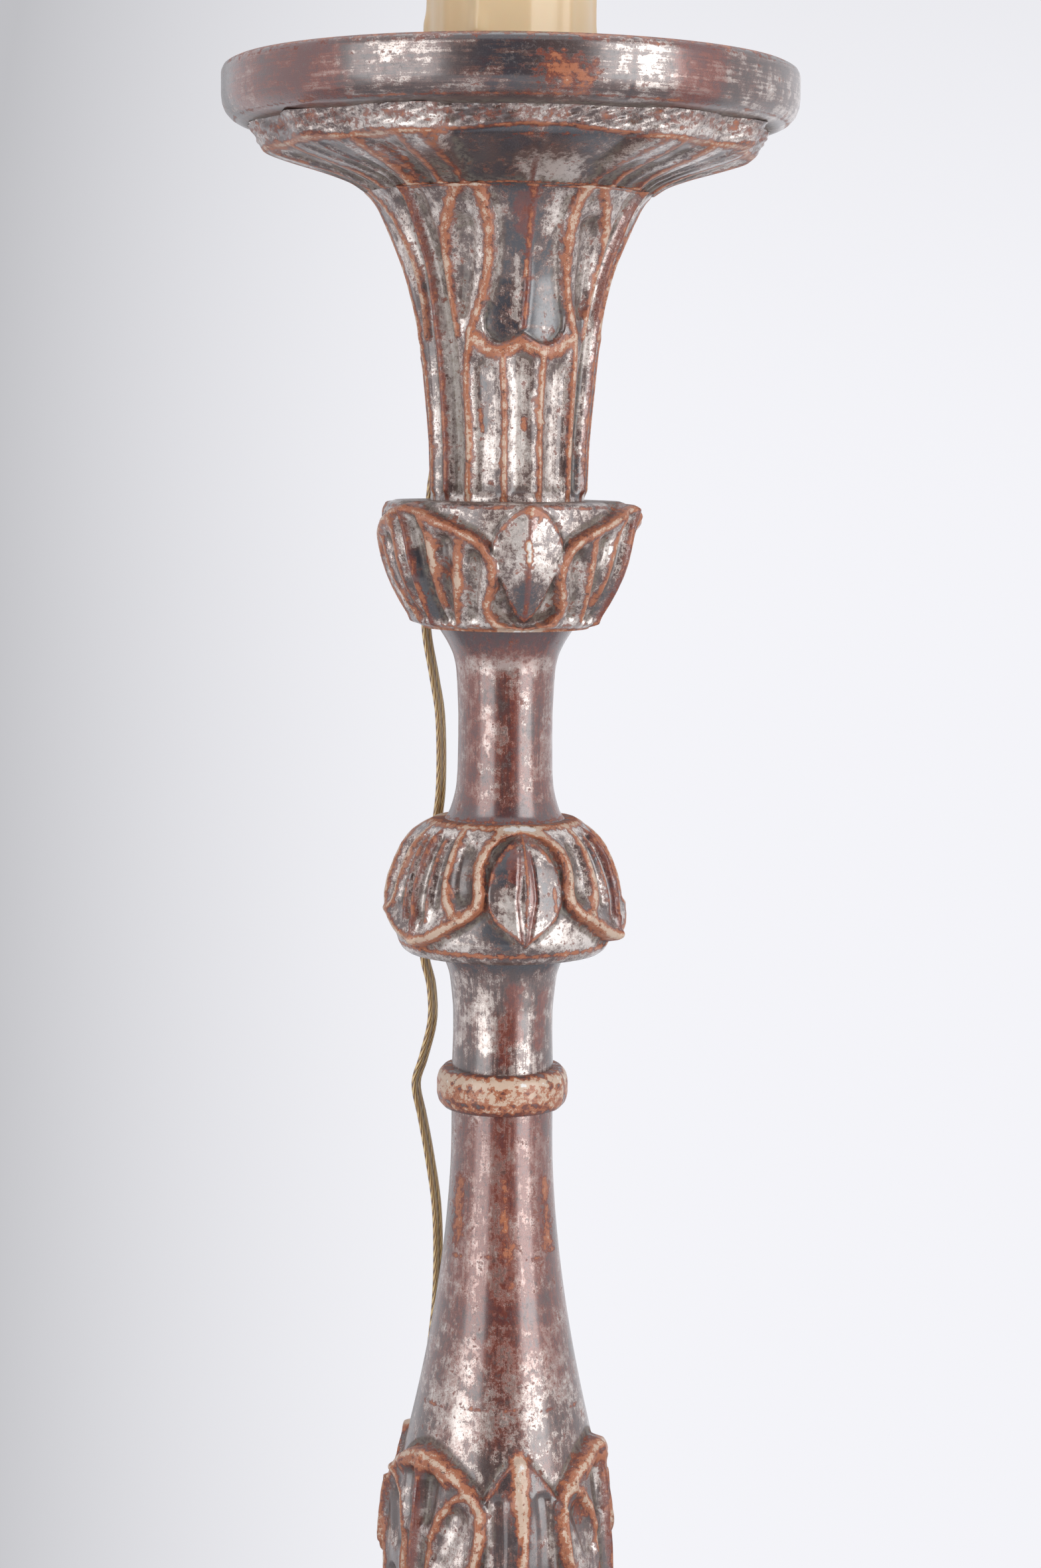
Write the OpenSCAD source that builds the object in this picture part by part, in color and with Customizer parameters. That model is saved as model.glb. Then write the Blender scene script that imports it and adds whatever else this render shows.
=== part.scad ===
// Candlestick floor lamp: a turned and carved wooden stem on a three-cornered base
// with scroll brackets, wired with an imitation candle, a lampholder, a flame-shaped
// bulb and a flat cord with a foot switch and a plug.
// +Z is up, the origin is on the stem's axis at the floor, and the front is -Y.
// Angles round the stem are counted from the front and grow towards +X.

/* [Stack heights] */
// Thickness of the three-cornered plinth board
plinth_h = 24; // [20:1:28]
// Height of the base block on the plinth
block_h = 316; // [290:2:330]
// Height of the turned moulding on the base block
cap_h = 38; // [36:1:44]
// Height of the carved knop
knop_h = 76; // [66:1:84]
// Height of the plain neck under the baluster's leaves
foot_neck_h = 50; // [44:1:58]
// Height of the leaves round the baluster
calyx_h = 170; // [160:1:180]
// Height of the plain bell above the leaf tips
bell_h = 151.5; // [140:0.5:165]
// Height of the loose collar ring
collar_h = 18.5; // [14:0.5:22]
// Height of the short neck above the collar
neck_h = 55; // [50:0.5:62]
// Height of the cup whose leaves droop
droop_h = 61.5; // [56:0.5:66]
// Height of the spool between the two cups
spool_h = 88; // [80:1:98]
// Height of the cup whose leaves rise
rise_h = 58; // [53:1:63]
// Height of the trumpet, up to its glued joint
trumpet_h = 137.5; // [130:0.5:146]
// Height of the flared block under the drip pan
flare_h = 29; // [26:1:33]

/* [Radii of the stem] */
// Radius of the knop
knop_r = 47; // [42:1:50]
// Radius of the widest turned moulding of the base
cap_r = 50; // [46:1:53]
// Radius of the baluster's foot neck
foot_neck_r = 26; // [24:0.5:29]
// Radius of the baluster's body under the leaves
calyx_r = 50.5; // [46:0.5:53]
// Thickness of the baluster's leaves
calyx_leaf = 4.2; // [3:0.2:5]
// Radius of the plain bell at its narrow end
bell_r = 23.6; // [22:0.2:25]
// Growth of the bell's radius down to the leaf tips
bell_growth = 18.5; // [16:0.5:20]
// Radius of the collar ring
collar_r = 30.5; // [29:0.5:33]
// Smallest radius of the short neck
neck_r = 23.1; // [22:0.1:25]
// Smallest radius of the spool
spool_r = 21.7; // [20.5:0.1:23.5]
// Radius of the trumpet's foot
trumpet_r = 35.2; // [33:0.2:37]
// Radius of the trumpet at its glued joint
joint_r = 64; // [61:1:67]
// Radius of the flared block's upper edge at its panels
flare_r = 104; // [98:1:108]
// How far the flared leaves stand out past the panels
flare_lobe = 11; // [6:1:13]

/* [Cups] */
// Radius of the rising cup's bowl at its rim
rise_r = 55.3; // [52:0.1:57]
// Radius of the drooping cup's bowl
droop_r = 51; // [48:0.5:53]
// Thickness of the cups' leaves
leaf_t = 4; // [3:0.25:5]

/* [Drip pan] */
// Diameter of the drip pan
pan_d = 260; // [250:2:280]
// Thickness of the drip pan
pan_t = 27; // [24:1:32]
// Depth of the shallow dish in the pan's top
pan_dish = 3; // [2:0.5:4]
// Width of the flat rim round the dish
pan_rim = 16; // [12:1:24]

/* [Base] */
// Distance from the axis to the plinth's corners
plinth_reach = 158; // [156:1:170]
// Distance from the axis to the middle of the plinth's hollow sides
plinth_hollow = 76; // [72:1:84]
// Distance from the axis to the base block's corner flats
block_reach = 62; // [60:1:66]
// Distance from the axis to the base block's hollow sides at the top
block_hollow = 45; // [40:1:48]
// Thickness of the scroll brackets
scroll_w = 36; // [30:1:40]
// Distance of a lower volute's centre from the plinth's tip
volute_in = 38; // [34:1:44]
// Radius of a lower volute
volute_r = 33; // [30:1:34]
// Width of the flat that a lower volute stands on
volute_flat = 18; // [14:1:22]
// Radius of an upper volute
crest_r = 20; // [17:1:22]
// Radius of the dowels that hold the brackets
dowel_r = 5; // [4:0.5:6]
// Height of the lower dowels above the block's foot
dowel_low = 70; // [55:1:85]
// Height of the upper dowels above the block's foot
dowel_high = 230; // [210:1:245]

/* [Wood joints] */
// Radius of the round tenons
tenon_r = 12; // [11:0.5:13]
// Length of the round tenons
tenon_h = 30; // [26:1:34]
// Clearance of wooden and metal fits
fit = 0.1; // [0.05:0.05:0.2]
// Radius of the drilled wire channel
channel_r = 4.6; // [4.4:0.1:4.9]

/* [Candle] */
// Height of the candle sleeve
sleeve_h = 160; // [150:5:190]
// Outer radius of the candle sleeve
sleeve_r = 36.5; // [35:0.5:39]
// Wall of the candle sleeve
sleeve_wall = 2.8; // [2.2:0.2:3.4]
// Radius of the hole in the sleeve's top
mouth_r = 23; // [22:0.5:25]
// How far the sleeve lifts off over the bulb
sleeve_lift = 240; // [200:10:300]

/* [Lampholder and bulb] */
// Depth of the lampholder's foot below the sleeve's top
holder_drop = 64; // [58:1:70]
// Height of the lampholder
holder_h = 52; // [50:1:56]
// Outer radius of the lampholder
holder_r = 14; // [13.6:0.1:15]
// Wall of the lampholder's metal
holder_wall = 1.4; // [1.2:0.1:1.6]
// Radius of the threaded tube
tube_r = 5; // [4.8:0.1:5.4]
// Radius of the bulb's screw cap
bulb_cap_r = 6.85; // [6.8:0.05:6.95]
// Height of the bulb from its contact to its tip
bulb_h = 98; // [92:1:106]
// Greatest radius of the bulb's glass
bulb_r = 17.5; // [16:0.5:18]
// Wall of the bulb's glass
glass_wall = 0.8; // [0.7:0.1:1]

/* [Cord] */
// Width of the flat twin cord
cord_w = 5.2; // [4.8:0.1:5.4]
// Thickness of the flat twin cord
cord_t = 2.6; // [2.4:0.1:2.8]
// Direction round the stem in which the cord leaves it
exit_angle = 209; // [206:1:212]
// Height of the cord's exit above the trumpet's foot
exit_rise = 38; // [36:0.5:40]
// Slope of the exit below the horizontal
exit_slope = 15; // [12:1:18]
// Distance from the axis to the mouth of the exit
exit_reach = 37.2; // [36.8:0.1:38]

/* [Foot switch] */
// Length of the foot switch
switch_l = 76; // [70:1:84]
// Width of the foot switch
switch_w = 40; // [36:1:44]
// Height of the foot switch's cover above the floor
switch_h = 20; // [18:1:24]
// Thickness of the foot switch's base plate
switch_plate = 3; // [2.4:0.2:3.6]
// Wall of the foot switch's cover
switch_wall = 2; // [1.6:0.2:2.4]
// Radius of the foot switch's button
button_r = 13; // [12:0.5:14]
// Height of the button above the cover
button_rise = 8; // [7:0.5:10]
// Travel of the button
button_travel = 4; // [3:0.5:4.5]

/* [Plug] */
// Length of the plug's body
plug_l = 36; // [32:1:40]
// Width of the plug's body
plug_w = 35; // [33:1:37]
// Thickness of the plug's body
plug_t = 13.6; // [12:0.2:15]
// Distance between the plug's pins
pin_pitch = 18.6; // [18:0.1:19]
// Radius of the plug's pins
pin_r = 2; // [1.9:0.1:2.4]
// Length of the plug's pins outside the body
pin_l = 19; // [18:0.5:20]

/* [Hidden] */

$fn = 48;
folds = 3;              // large leaves, small leaves, corners and brackets round the axis
sector = 360 / folds;
carve_cols = 72;        // columns of a carved surface
lap = 1;                // how deep a tenon starts inside its own body
end_gap = 2;            // empty depth of a socket past its tenon

// Levels of the stack, from the floor up.
block_z = plinth_h;
cap_z = block_z + block_h;
knop_z = cap_z + cap_h;
baluster_z = knop_z + knop_h;
calyx_z = baluster_z + foot_neck_h;
tips_z = calyx_z + calyx_h;
collar_z = tips_z + bell_h;
neck_z = collar_z + collar_h;
droop_z = neck_z + neck_h;
spool_z = droop_z + droop_h;
rise_z = spool_z + spool_h;
trumpet_z = rise_z + rise_h;
flare_z = trumpet_z + trumpet_h;
pan_z = flare_z + flare_h;
pan_top = pan_z + pan_t;
dish_z = pan_top - pan_dish;
sleeve_top = dish_z + sleeve_h;
holder_z = sleeve_top - holder_drop;

// Finishes, as the photograph shows them.
silver = [0.52, 0.49, 0.45];
dark_silver = [0.34, 0.30, 0.29];
gesso = [0.80, 0.66, 0.50];
candle_resin = [0.88, 0.80, 0.62];
brass = [0.72, 0.58, 0.30];
steel = [0.60, 0.60, 0.62];
gold_cord = [0.74, 0.60, 0.36];
dark_plastic = [0.10, 0.09, 0.08];

// ------------------------------------------------------------ helpers

// 0 below a, 1 above b, and a smooth rise between them.
function smooth(a, b, x) = let (t = min(1, max(0, (x - a) / (b - a)))) t * t * (3 - 2 * t);
// A rounded ridge of height 1 round x = 0.
function ridge(x, width) = exp(-pow(x / width, 2));
// Angle from the middle of the nearest small leaf, 0 to 60.
function off_small(angle) = abs((angle + 4.5 * sector) % sector - sector / 2);
// Angle from the middle of the nearest large leaf or corner, 0 to 60.
function off_large(angle) = sector / 2 - off_small(angle);
// A point at radius r and the given angle round the stem.
function polar(r, angle) = [r * sin(angle), -r * cos(angle)];
function unit(v) = v / norm(v);

// A carved body: at each height its surface has the radius that radius(height, angle) gives.
module carved(heights, radius) {
  rows = len(heights);
  points = [for (h = heights) for (j = [0:carve_cols - 1])
    let (angle = 360 * j / carve_cols, p = polar(radius(h, angle), angle)) [p[0], p[1], h]];
  sides = [for (i = [0:rows - 2]) for (j = [0:carve_cols - 1])
    let (k = (j + 1) % carve_cols, a = i * carve_cols + j, b = i * carve_cols + k,
      c = a + carve_cols, d = b + carve_cols)
    each [[a, c, b], [b, c, d]]];
  under = [for (j = [0:carve_cols - 1]) j];
  over = [for (j = [carve_cols - 1:-1:0]) (rows - 1) * carve_cols + j];
  polyhedron(points, concat(sides, [under, over]));
}

// A turned body from a list of [height, radius], bottom first.
module turned(z, outline) {
  last = outline[len(outline) - 1];
  translate([0, 0, z]) rotate_extrude()
    polygon(concat([[0, outline[0][0]]], [for (p = outline) [p[1], p[0]]], [[0, last[0]]]));
}

module disc(z, h, r) { translate([0, 0, z]) cylinder(r = r, h = h); }
module ring(z, h, outer, inner) {
  translate([0, 0, z]) rotate_extrude() translate([inner, 0]) square([outer - inner, h]);
}
module tenon(z, depth = tenon_h) { disc(z - depth, depth + lap, tenon_r); }
module socket(z) { disc(z - tenon_h - end_gap, tenon_h + end_gap + lap, tenon_r + fit); }

// Copies at the three angles of the large leaves, turned so that +X points outwards.
module at_corner(angle) { rotate([0, 0, angle - 90]) children(); }
corners = [60, -60, 180];

// ------------------------------------------------------------ base

scroll_side = scroll_w / 2 + 3;   // half width of a plinth corner's flat
flat_angle = 20;                  // the base block's flats reach this far from a corner
plinth_step = 6;                  // how far the plinth's upper layer is set in
plinth_foot = 0.6;                // the lower layer's share of the plinth

// A three-cornered board with hollow sides.
module board(h, inset) {
  reach = plinth_reach - inset;
  side = scroll_side + 8 - inset / 2;
  end = polar(reach, 60) - side * polar(1, 150);
  half = end[0] + 0.5;
  dip = -end[1] - (plinth_hollow - inset);
  round_r = (half * half + dip * dip) / (2 * dip);
  linear_extrude(h) difference() {
    polygon([for (a = [60, 180, 300]) for (s = [-1, 1])
      polar(reach, a) + s * side * polar(1, a + 90)]);
    for (a = corners) translate(polar(plinth_hollow - inset + round_r, a + 180)) circle(round_r, $fn = 96);
  }
}

module plinth() {
  color(dark_silver) union() {
    board(plinth_h * plinth_foot, 0);
    board(plinth_h, plinth_step);
  }
}

// Radius of the base block: flats at the corners, hollow between them.
function block_radius(z, angle) =
  let (t = (z - block_z) / block_h, b = off_large(angle), edge = block_reach / cos(flat_angle),
    hollow = block_hollow + 9 * pow(1 - t, 2) + 2 * ridge(t - 0.97, 0.03) + 3 * ridge(t - 0.04, 0.05))
  b <= flat_angle + 0.01 ? block_reach / cos(b)
    : hollow + (edge - hollow) * pow(cos(90 * (b - flat_angle) / (60 - flat_angle)), 1.4);

dowel_heights = [block_z + dowel_low, block_z + dowel_high];
dowel_in = 16;       // depth of a dowel in the block
dowel_out = 10;      // depth of a dowel in the bracket

module at_dowels() {
  for (a = corners) for (z = dowel_heights)
    at_corner(a) translate([block_reach, 0, z]) rotate([0, 90, 0]) children();
}

module base_block() {
  color(dark_silver) difference() {
    carved([for (t = [0, 0.05, 0.1, 0.2, 0.35, 0.5, 0.65, 0.8, 0.93, 0.97, 1]) block_z + t * block_h],
      function(z, angle) block_radius(z, angle));
    at_dowels() disc(-dowel_in - end_gap, dowel_in + 2 * end_gap, dowel_r + fit);
    socket(cap_z);
  }
}

function bezier(a, b, c, d, t) =
  pow(1 - t, 3) * a + 3 * pow(1 - t, 2) * t * b + 3 * (1 - t) * t * t * c + pow(t, 3) * d;

crest = [block_reach + crest_r * 0.7, cap_z - crest_r - 4];
volute_reach = plinth_reach - volute_in;
volute = [volute_reach, block_z + sqrt(volute_r * volute_r - pow(volute_flat / 2, 2))];

// The side view of a bracket, x outwards and y up.
module scroll_outline() {
  difference() {
    union() {
      translate(crest) circle(crest_r);
      translate(volute) circle(volute_r, $fn = 96);
      polygon(concat(
        [for (t = [0:0.1:1]) bezier(crest + [crest_r * 0.8, -crest_r * 0.6],
          [block_reach + 8, crest[1] - 120], [block_reach + 14, volute[1] + 55],
          volute + [volute_r * 0.3, volute_r * 0.95], t)],
        [for (t = [0:0.25:1]) bezier(volute + [-volute_r * 0.5, -volute_r * 0.8],
          volute + [-volute_r, -volute_r * 0.2], [block_reach + 8, block_z + 34],
          [block_reach, block_z + 44], t)],
        [[block_reach, crest[1]]]));
    }
    translate([block_reach - 60, 0]) square([60, cap_z]);
    translate([0, block_z - 60]) square([volute_reach + volute_r, 60]);
  }
}

module scroll(angle) {
  eye = 2.5;     // how far the volutes' eyes stand out at the sides
  color(silver) difference() {
    at_corner(angle) rotate([90, 0, 0]) union() {
      linear_extrude(scroll_w, center = true) scroll_outline();
      translate(volute) cylinder(r = volute_r * 0.28, h = scroll_w + 2 * eye, center = true);
      translate(crest) cylinder(r = crest_r * 0.3, h = scroll_w + 2 * eye, center = true);
    }
    at_dowels() disc(-end_gap, dowel_out + end_gap * 1.5, dowel_r + fit);
  }
}

module dowels() { color(gesso) at_dowels() disc(-dowel_in, dowel_in + dowel_out, dowel_r); }

module base_cap() {
  color(silver) difference() {
    union() {
      turned(cap_z, [[0, cap_r - 4], [2, cap_r - 0.7], [5, cap_r], [8, cap_r - 0.7], [11, cap_r - 4],
        [12, cap_r - 7], [17, cap_r - 11], [cap_h - 14, cap_r - 13.5], [cap_h - 10, cap_r - 13],
        [cap_h - 9, cap_r - 10.5], [cap_h - 6, cap_r - 9.5], [cap_h - 3, cap_r - 10.5],
        [cap_h, cap_r - 13]]);
      tenon(cap_z);
    }
    socket(knop_z);
  }
}

// ------------------------------------------------------------ stem

gadroons = 12;

function knop_radius(z, angle) =
  let (t = (z - knop_z) / knop_h, swell = pow(max(0, sin(180 * t)), 0.7), neck = 31 - 4 * t)
  neck + (knop_r - neck) * swell - 2.6 * swell * (1 - abs(cos(gadroons / 2 * angle)));

module knop() {
  color(silver) difference() {
    union() {
      carved([for (t = [0, 0.03, 0.1, 0.2, 0.32, 0.44, 0.56, 0.68, 0.8, 0.9, 0.97, 1]) knop_z + t * knop_h],
        function(z, angle) knop_radius(z, angle));
      tenon(knop_z);
    }
    socket(baluster_z);
  }
}

tip_r = bell_r + bell_growth;
// The baluster's body under its leaves: [share of the leaves' height, radius].
calyx_body = [[0, foot_neck_r + 2], [0.07, foot_neck_r + 4.5], [0.15, foot_neck_r + 8.5],
  [0.24, foot_neck_r + 14], [0.32, calyx_r - 5], [0.41, calyx_r - 1.2], [0.5, calyx_r],
  [0.68, calyx_r - 1.2], [0.84, calyx_r - 3.3], [0.91, calyx_r - 5], [1, tip_r]];
// Half width of a leaf in degrees: [distance below the large leaves' tips, half width].
calyx_large = [[0, 0], [2, 7], [8, 14], [16, 21], [26, 27], [40, 33], [60, 38], [90, 46], [120, 60]];
calyx_small = [[20, 0], [25, 8], [34, 14], [50, 19], [75, 22], [110, 19], [150, 10]];
bell_plain = 13.5;    // length of the bell that stays at its narrow radius

function bell_body(d) =
  bell_r + bell_growth * pow(max(0, d - bell_plain) / (bell_h - bell_plain), 1.76);
function foot_neck_body(h) = foot_neck_r + 4.5 * ridge(h - 3, 4) + 2 * smooth(38, foot_neck_h, h);
function calyx_relief(d, angle) =
  let (b = off_large(angle), large = lookup(d, calyx_large) - b,
    small = lookup(d, calyx_small) - off_small(angle))
  d < 0 ? 0 : max(
    smooth(-1, 5, large) * (calyx_leaf * (0.75 + 0.35 * ridge(b, 5) + 0.3 * ridge(large - 5, 4))
      + 5 * ridge(d - 12, 9)) * smooth(0, 4, d),
    d < 20 ? 0 : smooth(-1, 5, small) * calyx_leaf * (0.7 + 0.6 * ridge(off_small(angle), 6)))
    * smooth(0, 14, calyx_h - d);
function baluster_radius(z, angle) =
  z <= calyx_z ? foot_neck_body(z - baluster_z)
    : z >= tips_z ? bell_body(collar_z - z)
    : lookup((z - calyx_z) / calyx_h, calyx_body) + calyx_relief(tips_z - z, angle);

module baluster() {
  color(dark_silver) difference() {
    union() {
      carved(concat([for (h = [0, 6, 12, 30]) baluster_z + h],
          [for (t = [0, 0.08, 0.16, 0.24, 0.32, 0.42, 0.52, 0.62, 0.72, 0.79, 0.85, 0.89, 0.93, 0.965, 0.985])
            calyx_z + t * calyx_h],
          [for (t = [0, 0.15, 0.32, 0.5, 0.7, 0.9, 1]) tips_z + t * bell_h]),
        function(z, angle) baluster_radius(z, angle));
      tenon(baluster_z);
    }
    socket(collar_z);
  }
}

module collar_ring() {
  color(gesso) difference() {
    turned(collar_z, [[0, collar_r - 3.2], [2.5, collar_r - 0.9], [6, collar_r],
      [collar_h - 6, collar_r], [collar_h - 2.5, collar_r - 0.9], [collar_h, collar_r - 3.2]]);
    disc(collar_z - lap, collar_h + 2 * lap, tenon_r + fit);
  }
}

module neck() {
  color(dark_silver) difference() {
    union() {
      turned(neck_z, [[0, neck_r + 0.5], [15, neck_r], [28, neck_r + 0.1], [37, neck_r + 1],
        [44, neck_r + 1.9], [49, neck_r + 3.6], [neck_h, neck_r + 7]]);
      tenon(neck_z, collar_h + tenon_h);
    }
    socket(droop_z);
  }
}

// Half width in degrees of a cup's large leaf and of its pointed small leaf, by distance
// from the large leaf's tip.
cup_large = [[0, 0], [2, 7], [7, 13], [11.5, 19], [14, 27], [17, 34], [27, 43], [33, 43],
  [42, 36], [46, 34], [51, 38], [56, 48]];
cup_small = [[0, 0], [2, 4], [7.5, 10], [15, 17.5], [26, 17.5], [40, 11], [53, 1]];

function cup_relief(d, angle) =
  let (a = off_small(angle), b = off_large(angle), large = lookup(d, cup_large) - b,
    small = lookup(d, cup_small) - a)
  d < 0 ? 0 : leaf_t * max(
    smooth(-1, 4, large) * (0.75 + 0.3 * ridge(large - 4, 4) + 0.25 * ridge(b, 4) + 0.7 * ridge(d - 8, 8)),
    smooth(-1, 4, small) * (0.65 + 0.5 * ridge(a, 5))) * smooth(0, 3, d);

// The drooping cup's body: [distance below its top, radius].
droop_body = [[0, droop_r - 18], [1.5, droop_r - 15.3], [5, droop_r - 14.7], [8, droop_r - 11.5],
  [12, droop_r - 8.5], [18, droop_r - 5.5], [26, droop_r - 2.5], [34, droop_r - 0.8],
  [44, droop_r], [52, droop_r - 0.6], [57, droop_r - 2.2], [60, droop_r - 3.8], [droop_h, droop_r - 6]];

module drooping_cup() {
  tip_d = 5;      // height of the leaf tips above the lower edge
  color(silver) difference() {
    union() {
      carved([for (d = [droop_h, 60, 57, 54, 51, 46, 40, 33, 26, 18, 12, 8, 5, 1.5, 0]) spool_z - d],
        function(z, angle) lookup(spool_z - z, droop_body)
          + cup_relief(z - droop_z - tip_d + 5 * smooth(10, 30, off_large(angle)), angle)
            * smooth(5, 12, spool_z - z));
      tenon(droop_z);
    }
    socket(spool_z);
  }
}

module spool() {
  color(dark_silver) difference() {
    union() {
      turned(spool_z, [[0, spool_r + 6], [2, spool_r + 4.2], [8, spool_r + 2.2], [14, spool_r + 0.8],
        [22, spool_r + 0.2], [36, spool_r], [48, spool_r], [62, spool_r + 0.6], [70, spool_r + 1.2],
        [76, spool_r + 2.6], [82, spool_r + 5.6], [spool_h, spool_r + 9.5]]);
      tenon(spool_z);
    }
    socket(rise_z);
  }
}

// The rising cup's body: [distance below its top, radius].
rise_body = [[0, rise_r - 4], [1, rise_r - 0.6], [4, rise_r], [10, rise_r - 0.4], [16, rise_r - 1.3],
  [22, rise_r - 2.4], [28, rise_r - 3.8], [34, rise_r - 5.8], [40, rise_r - 8.5], [46, rise_r - 11.8],
  [52, rise_r - 15.5], [56, rise_r - 17], [rise_h, rise_r - 17.5]];

module rising_cup() {
  color(silver) difference() {
    union() {
      carved([for (d = [rise_h, 55, 50, 44, 38, 32, 26, 20, 15, 11, 8, 5, 3, 1.5, 0]) trumpet_z - d],
        function(z, angle) lookup(trumpet_z - z, rise_body)
          + cup_relief(trumpet_z - z - 0.5, angle) * smooth(0, 8, z - rise_z));
      tenon(rise_z);
    }
    socket(trumpet_z);
  }
}

// The trumpet's body: [height above its foot, radius].
trumpet_body = [[0, trumpet_r], [9, trumpet_r], [26, trumpet_r + 0.5], [38, trumpet_r + 1.5],
  [50, trumpet_r + 2.7], [62, trumpet_r + 3.8], [74, trumpet_r + 5], [86, trumpet_r + 6.8],
  [98, trumpet_r + 9.6], [106, trumpet_r + 12.2], [114, trumpet_r + 15.4], [122, trumpet_r + 18.8],
  [130, trumpet_r + 22.4], [134.5, trumpet_r + 25.4], [trumpet_h, joint_r]];
panel_angle = 26;     // half width of the plain panels over the small leaves
panel_foot = 68;      // height of the panels' lower ends above the trumpet's foot
hollow_foot = 12;     // height of the hollows beside the panels above that
hollow_top = 9.5;     // distance from the hollows to the trumpet's top
hollow_fade = 18;     // length over which a hollow fades in or out

function trumpet_relief(h, angle) =
  let (edge = off_small(angle) - panel_angle, upper = smooth(panel_foot - 5, panel_foot + 5, h))
  upper * (smooth(-4, 1, edge) * 2 + 1.6 * ridge(edge - 4, 5) - 1.8
    - 2.2 * ridge(edge - 13, 6) * smooth(0, hollow_fade, h - panel_foot - hollow_foot)
      * smooth(0, hollow_fade, trumpet_h - hollow_top - h))
  + (1 - upper) * 0.8 * ridge(off_small(angle) % 15 - 7.5, 3.5);
function trumpet_radius(z, angle) =
  let (h = z - trumpet_z)
  lookup(h, trumpet_body) + trumpet_relief(h, angle) * smooth(6, 30, h) * smooth(trumpet_h, trumpet_h - 6, h);

exit_z = trumpet_z + exit_rise;
bend_z = exit_z + exit_reach * tan(exit_slope);
exit_run = exit_reach / cos(exit_slope);

// Moves a piece that is made along +Z onto the axis of the cord's exit.
module at_exit() {
  translate([0, 0, bend_z]) rotate([0, 0, exit_angle]) rotate([90 + exit_slope, 0, 0]) children();
}

bush_flange_r = 6;
bush_flange_t = 1.8;
bush_l = 14;

module wire_channel() {
  disc(bend_z - channel_r, flare_z - bend_z + channel_r + lap, channel_r);
  at_exit() disc(0, exit_run + 12, channel_r);
}

trumpet_rows = [0, 9, 20, 34, 48, 60, 66, 72, 80, 90, 100, 110, 118, 126, 132, trumpet_h];

module trumpet() {
  color(silver) difference() {
    union() {
      carved([for (h = trumpet_rows) trumpet_z + h],
        function(z, angle) trumpet_radius(z, angle));
      tenon(trumpet_z);
    }
    wire_channel();
    at_exit() disc(exit_run - bush_flange_t, 14, bush_flange_r + 0.3);
    socket(flare_z);
  }
}

// The flared block's body: [height above its joint, radius].
flare_body = [[0, joint_r], [4, joint_r + 6], [8.5, joint_r + 15], [13, joint_r + 26],
  [18, flare_r - 2], [22, flare_r], [flare_h, flare_r + 4]];

function flare_radius(z, angle) =
  let (h = z - flare_z, a = off_small(angle), leaf = smooth(panel_angle - 3, panel_angle + 3, a))
  lookup(h, flare_body)
    + leaf * flare_lobe * smooth(4, 18, h) * (0.75 + 0.25 * cos(12 * (a - 60)));

tube_in = 12;      // depth of the threaded tube in the flared block
pan_screw_ring = 27;
pan_screw_r = 2;
pan_screw_l = pan_t - pan_dish + 16;
flange_screw_ring = 15;
flange_screw_r = 1.6;
flange_screw_l = 16;
flange_t = 2;
screw_angles = [30, 150, 270];

module at_screws(ring_r, z) {
  for (a = screw_angles) translate([ring_r * cos(a), ring_r * sin(a), z]) children();
}

module flare_block() {
  color(dark_silver) difference() {
    union() {
      carved([for (h = [0, 4, 8.5, 13, 18, 22, flare_h]) flare_z + h],
        function(z, angle) flare_radius(z, angle));
      tenon(flare_z);
    }
    disc(flare_z - tenon_h - lap, tenon_h + flare_h + 2 * lap, channel_r);
    disc(pan_z - tube_in - end_gap, tube_in + end_gap + lap, tube_r + fit);
    at_screws(pan_screw_ring, dish_z - pan_screw_l - 1) cylinder(r = pan_screw_r + fit, h = pan_screw_l);
  }
}

pan_r = pan_d / 2;
screw_head_h = 2.2;

module drip_pan() {
  color(silver) difference() {
    turned(pan_z, [[0, pan_r - 13], [1, pan_r - 8], [3, pan_r - 4.4], [6, pan_r - 1.7], [9.5, pan_r - 0.4],
      [13, pan_r], [pan_t - 4, pan_r], [pan_t - 1.2, pan_r - 1.2], [pan_t, pan_r - 4]]);
    disc(dish_z, pan_dish + lap, pan_r - pan_rim);
    disc(pan_z - lap, pan_t + 2 * lap, tube_r + fit);
    at_screws(pan_screw_ring, pan_z - lap) cylinder(r = pan_screw_r + fit, h = pan_t);
    at_screws(pan_screw_ring, dish_z - screw_head_h) pan_screw_head(fit);
    at_screws(flange_screw_ring, dish_z - flange_screw_l - 1)
      cylinder(r = flange_screw_r + fit, h = flange_screw_l + 2);
  }
}

module pan_screw_head(grow) {
  cylinder(r1 = pan_screw_r + grow, r2 = pan_screw_r + screw_head_h + grow, h = screw_head_h);
}

module pan_screws() {
  color(steel) at_screws(pan_screw_ring, dish_z - pan_screw_l) union() {
    cylinder(r = pan_screw_r, h = pan_screw_l);
    translate([0, 0, pan_screw_l - screw_head_h]) pan_screw_head(0);
  }
}

// ------------------------------------------------------------ lampholder, candle and bulb

flange_r = 20;
boss_r = 8;
boss_h = 10;
nut_r = 8.5;
nut_h = 4;
holder_floor = 3;
holder_ledge = 17;    // height of the ledge that carries the ceramic insert
holder_split = 24;    // height of the joint between the holder's cap and skirt
insert_h = 10;
insert_r = holder_r - holder_wall - fit;
contact_h = 3;
contact_z = holder_z + holder_ledge + insert_h + contact_h;
shell_h = 23;
shell_t = 0.6;
terminal_ring = bulb_cap_r + fit + shell_t + 2.4;
terminal_r = 1.4;

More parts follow.
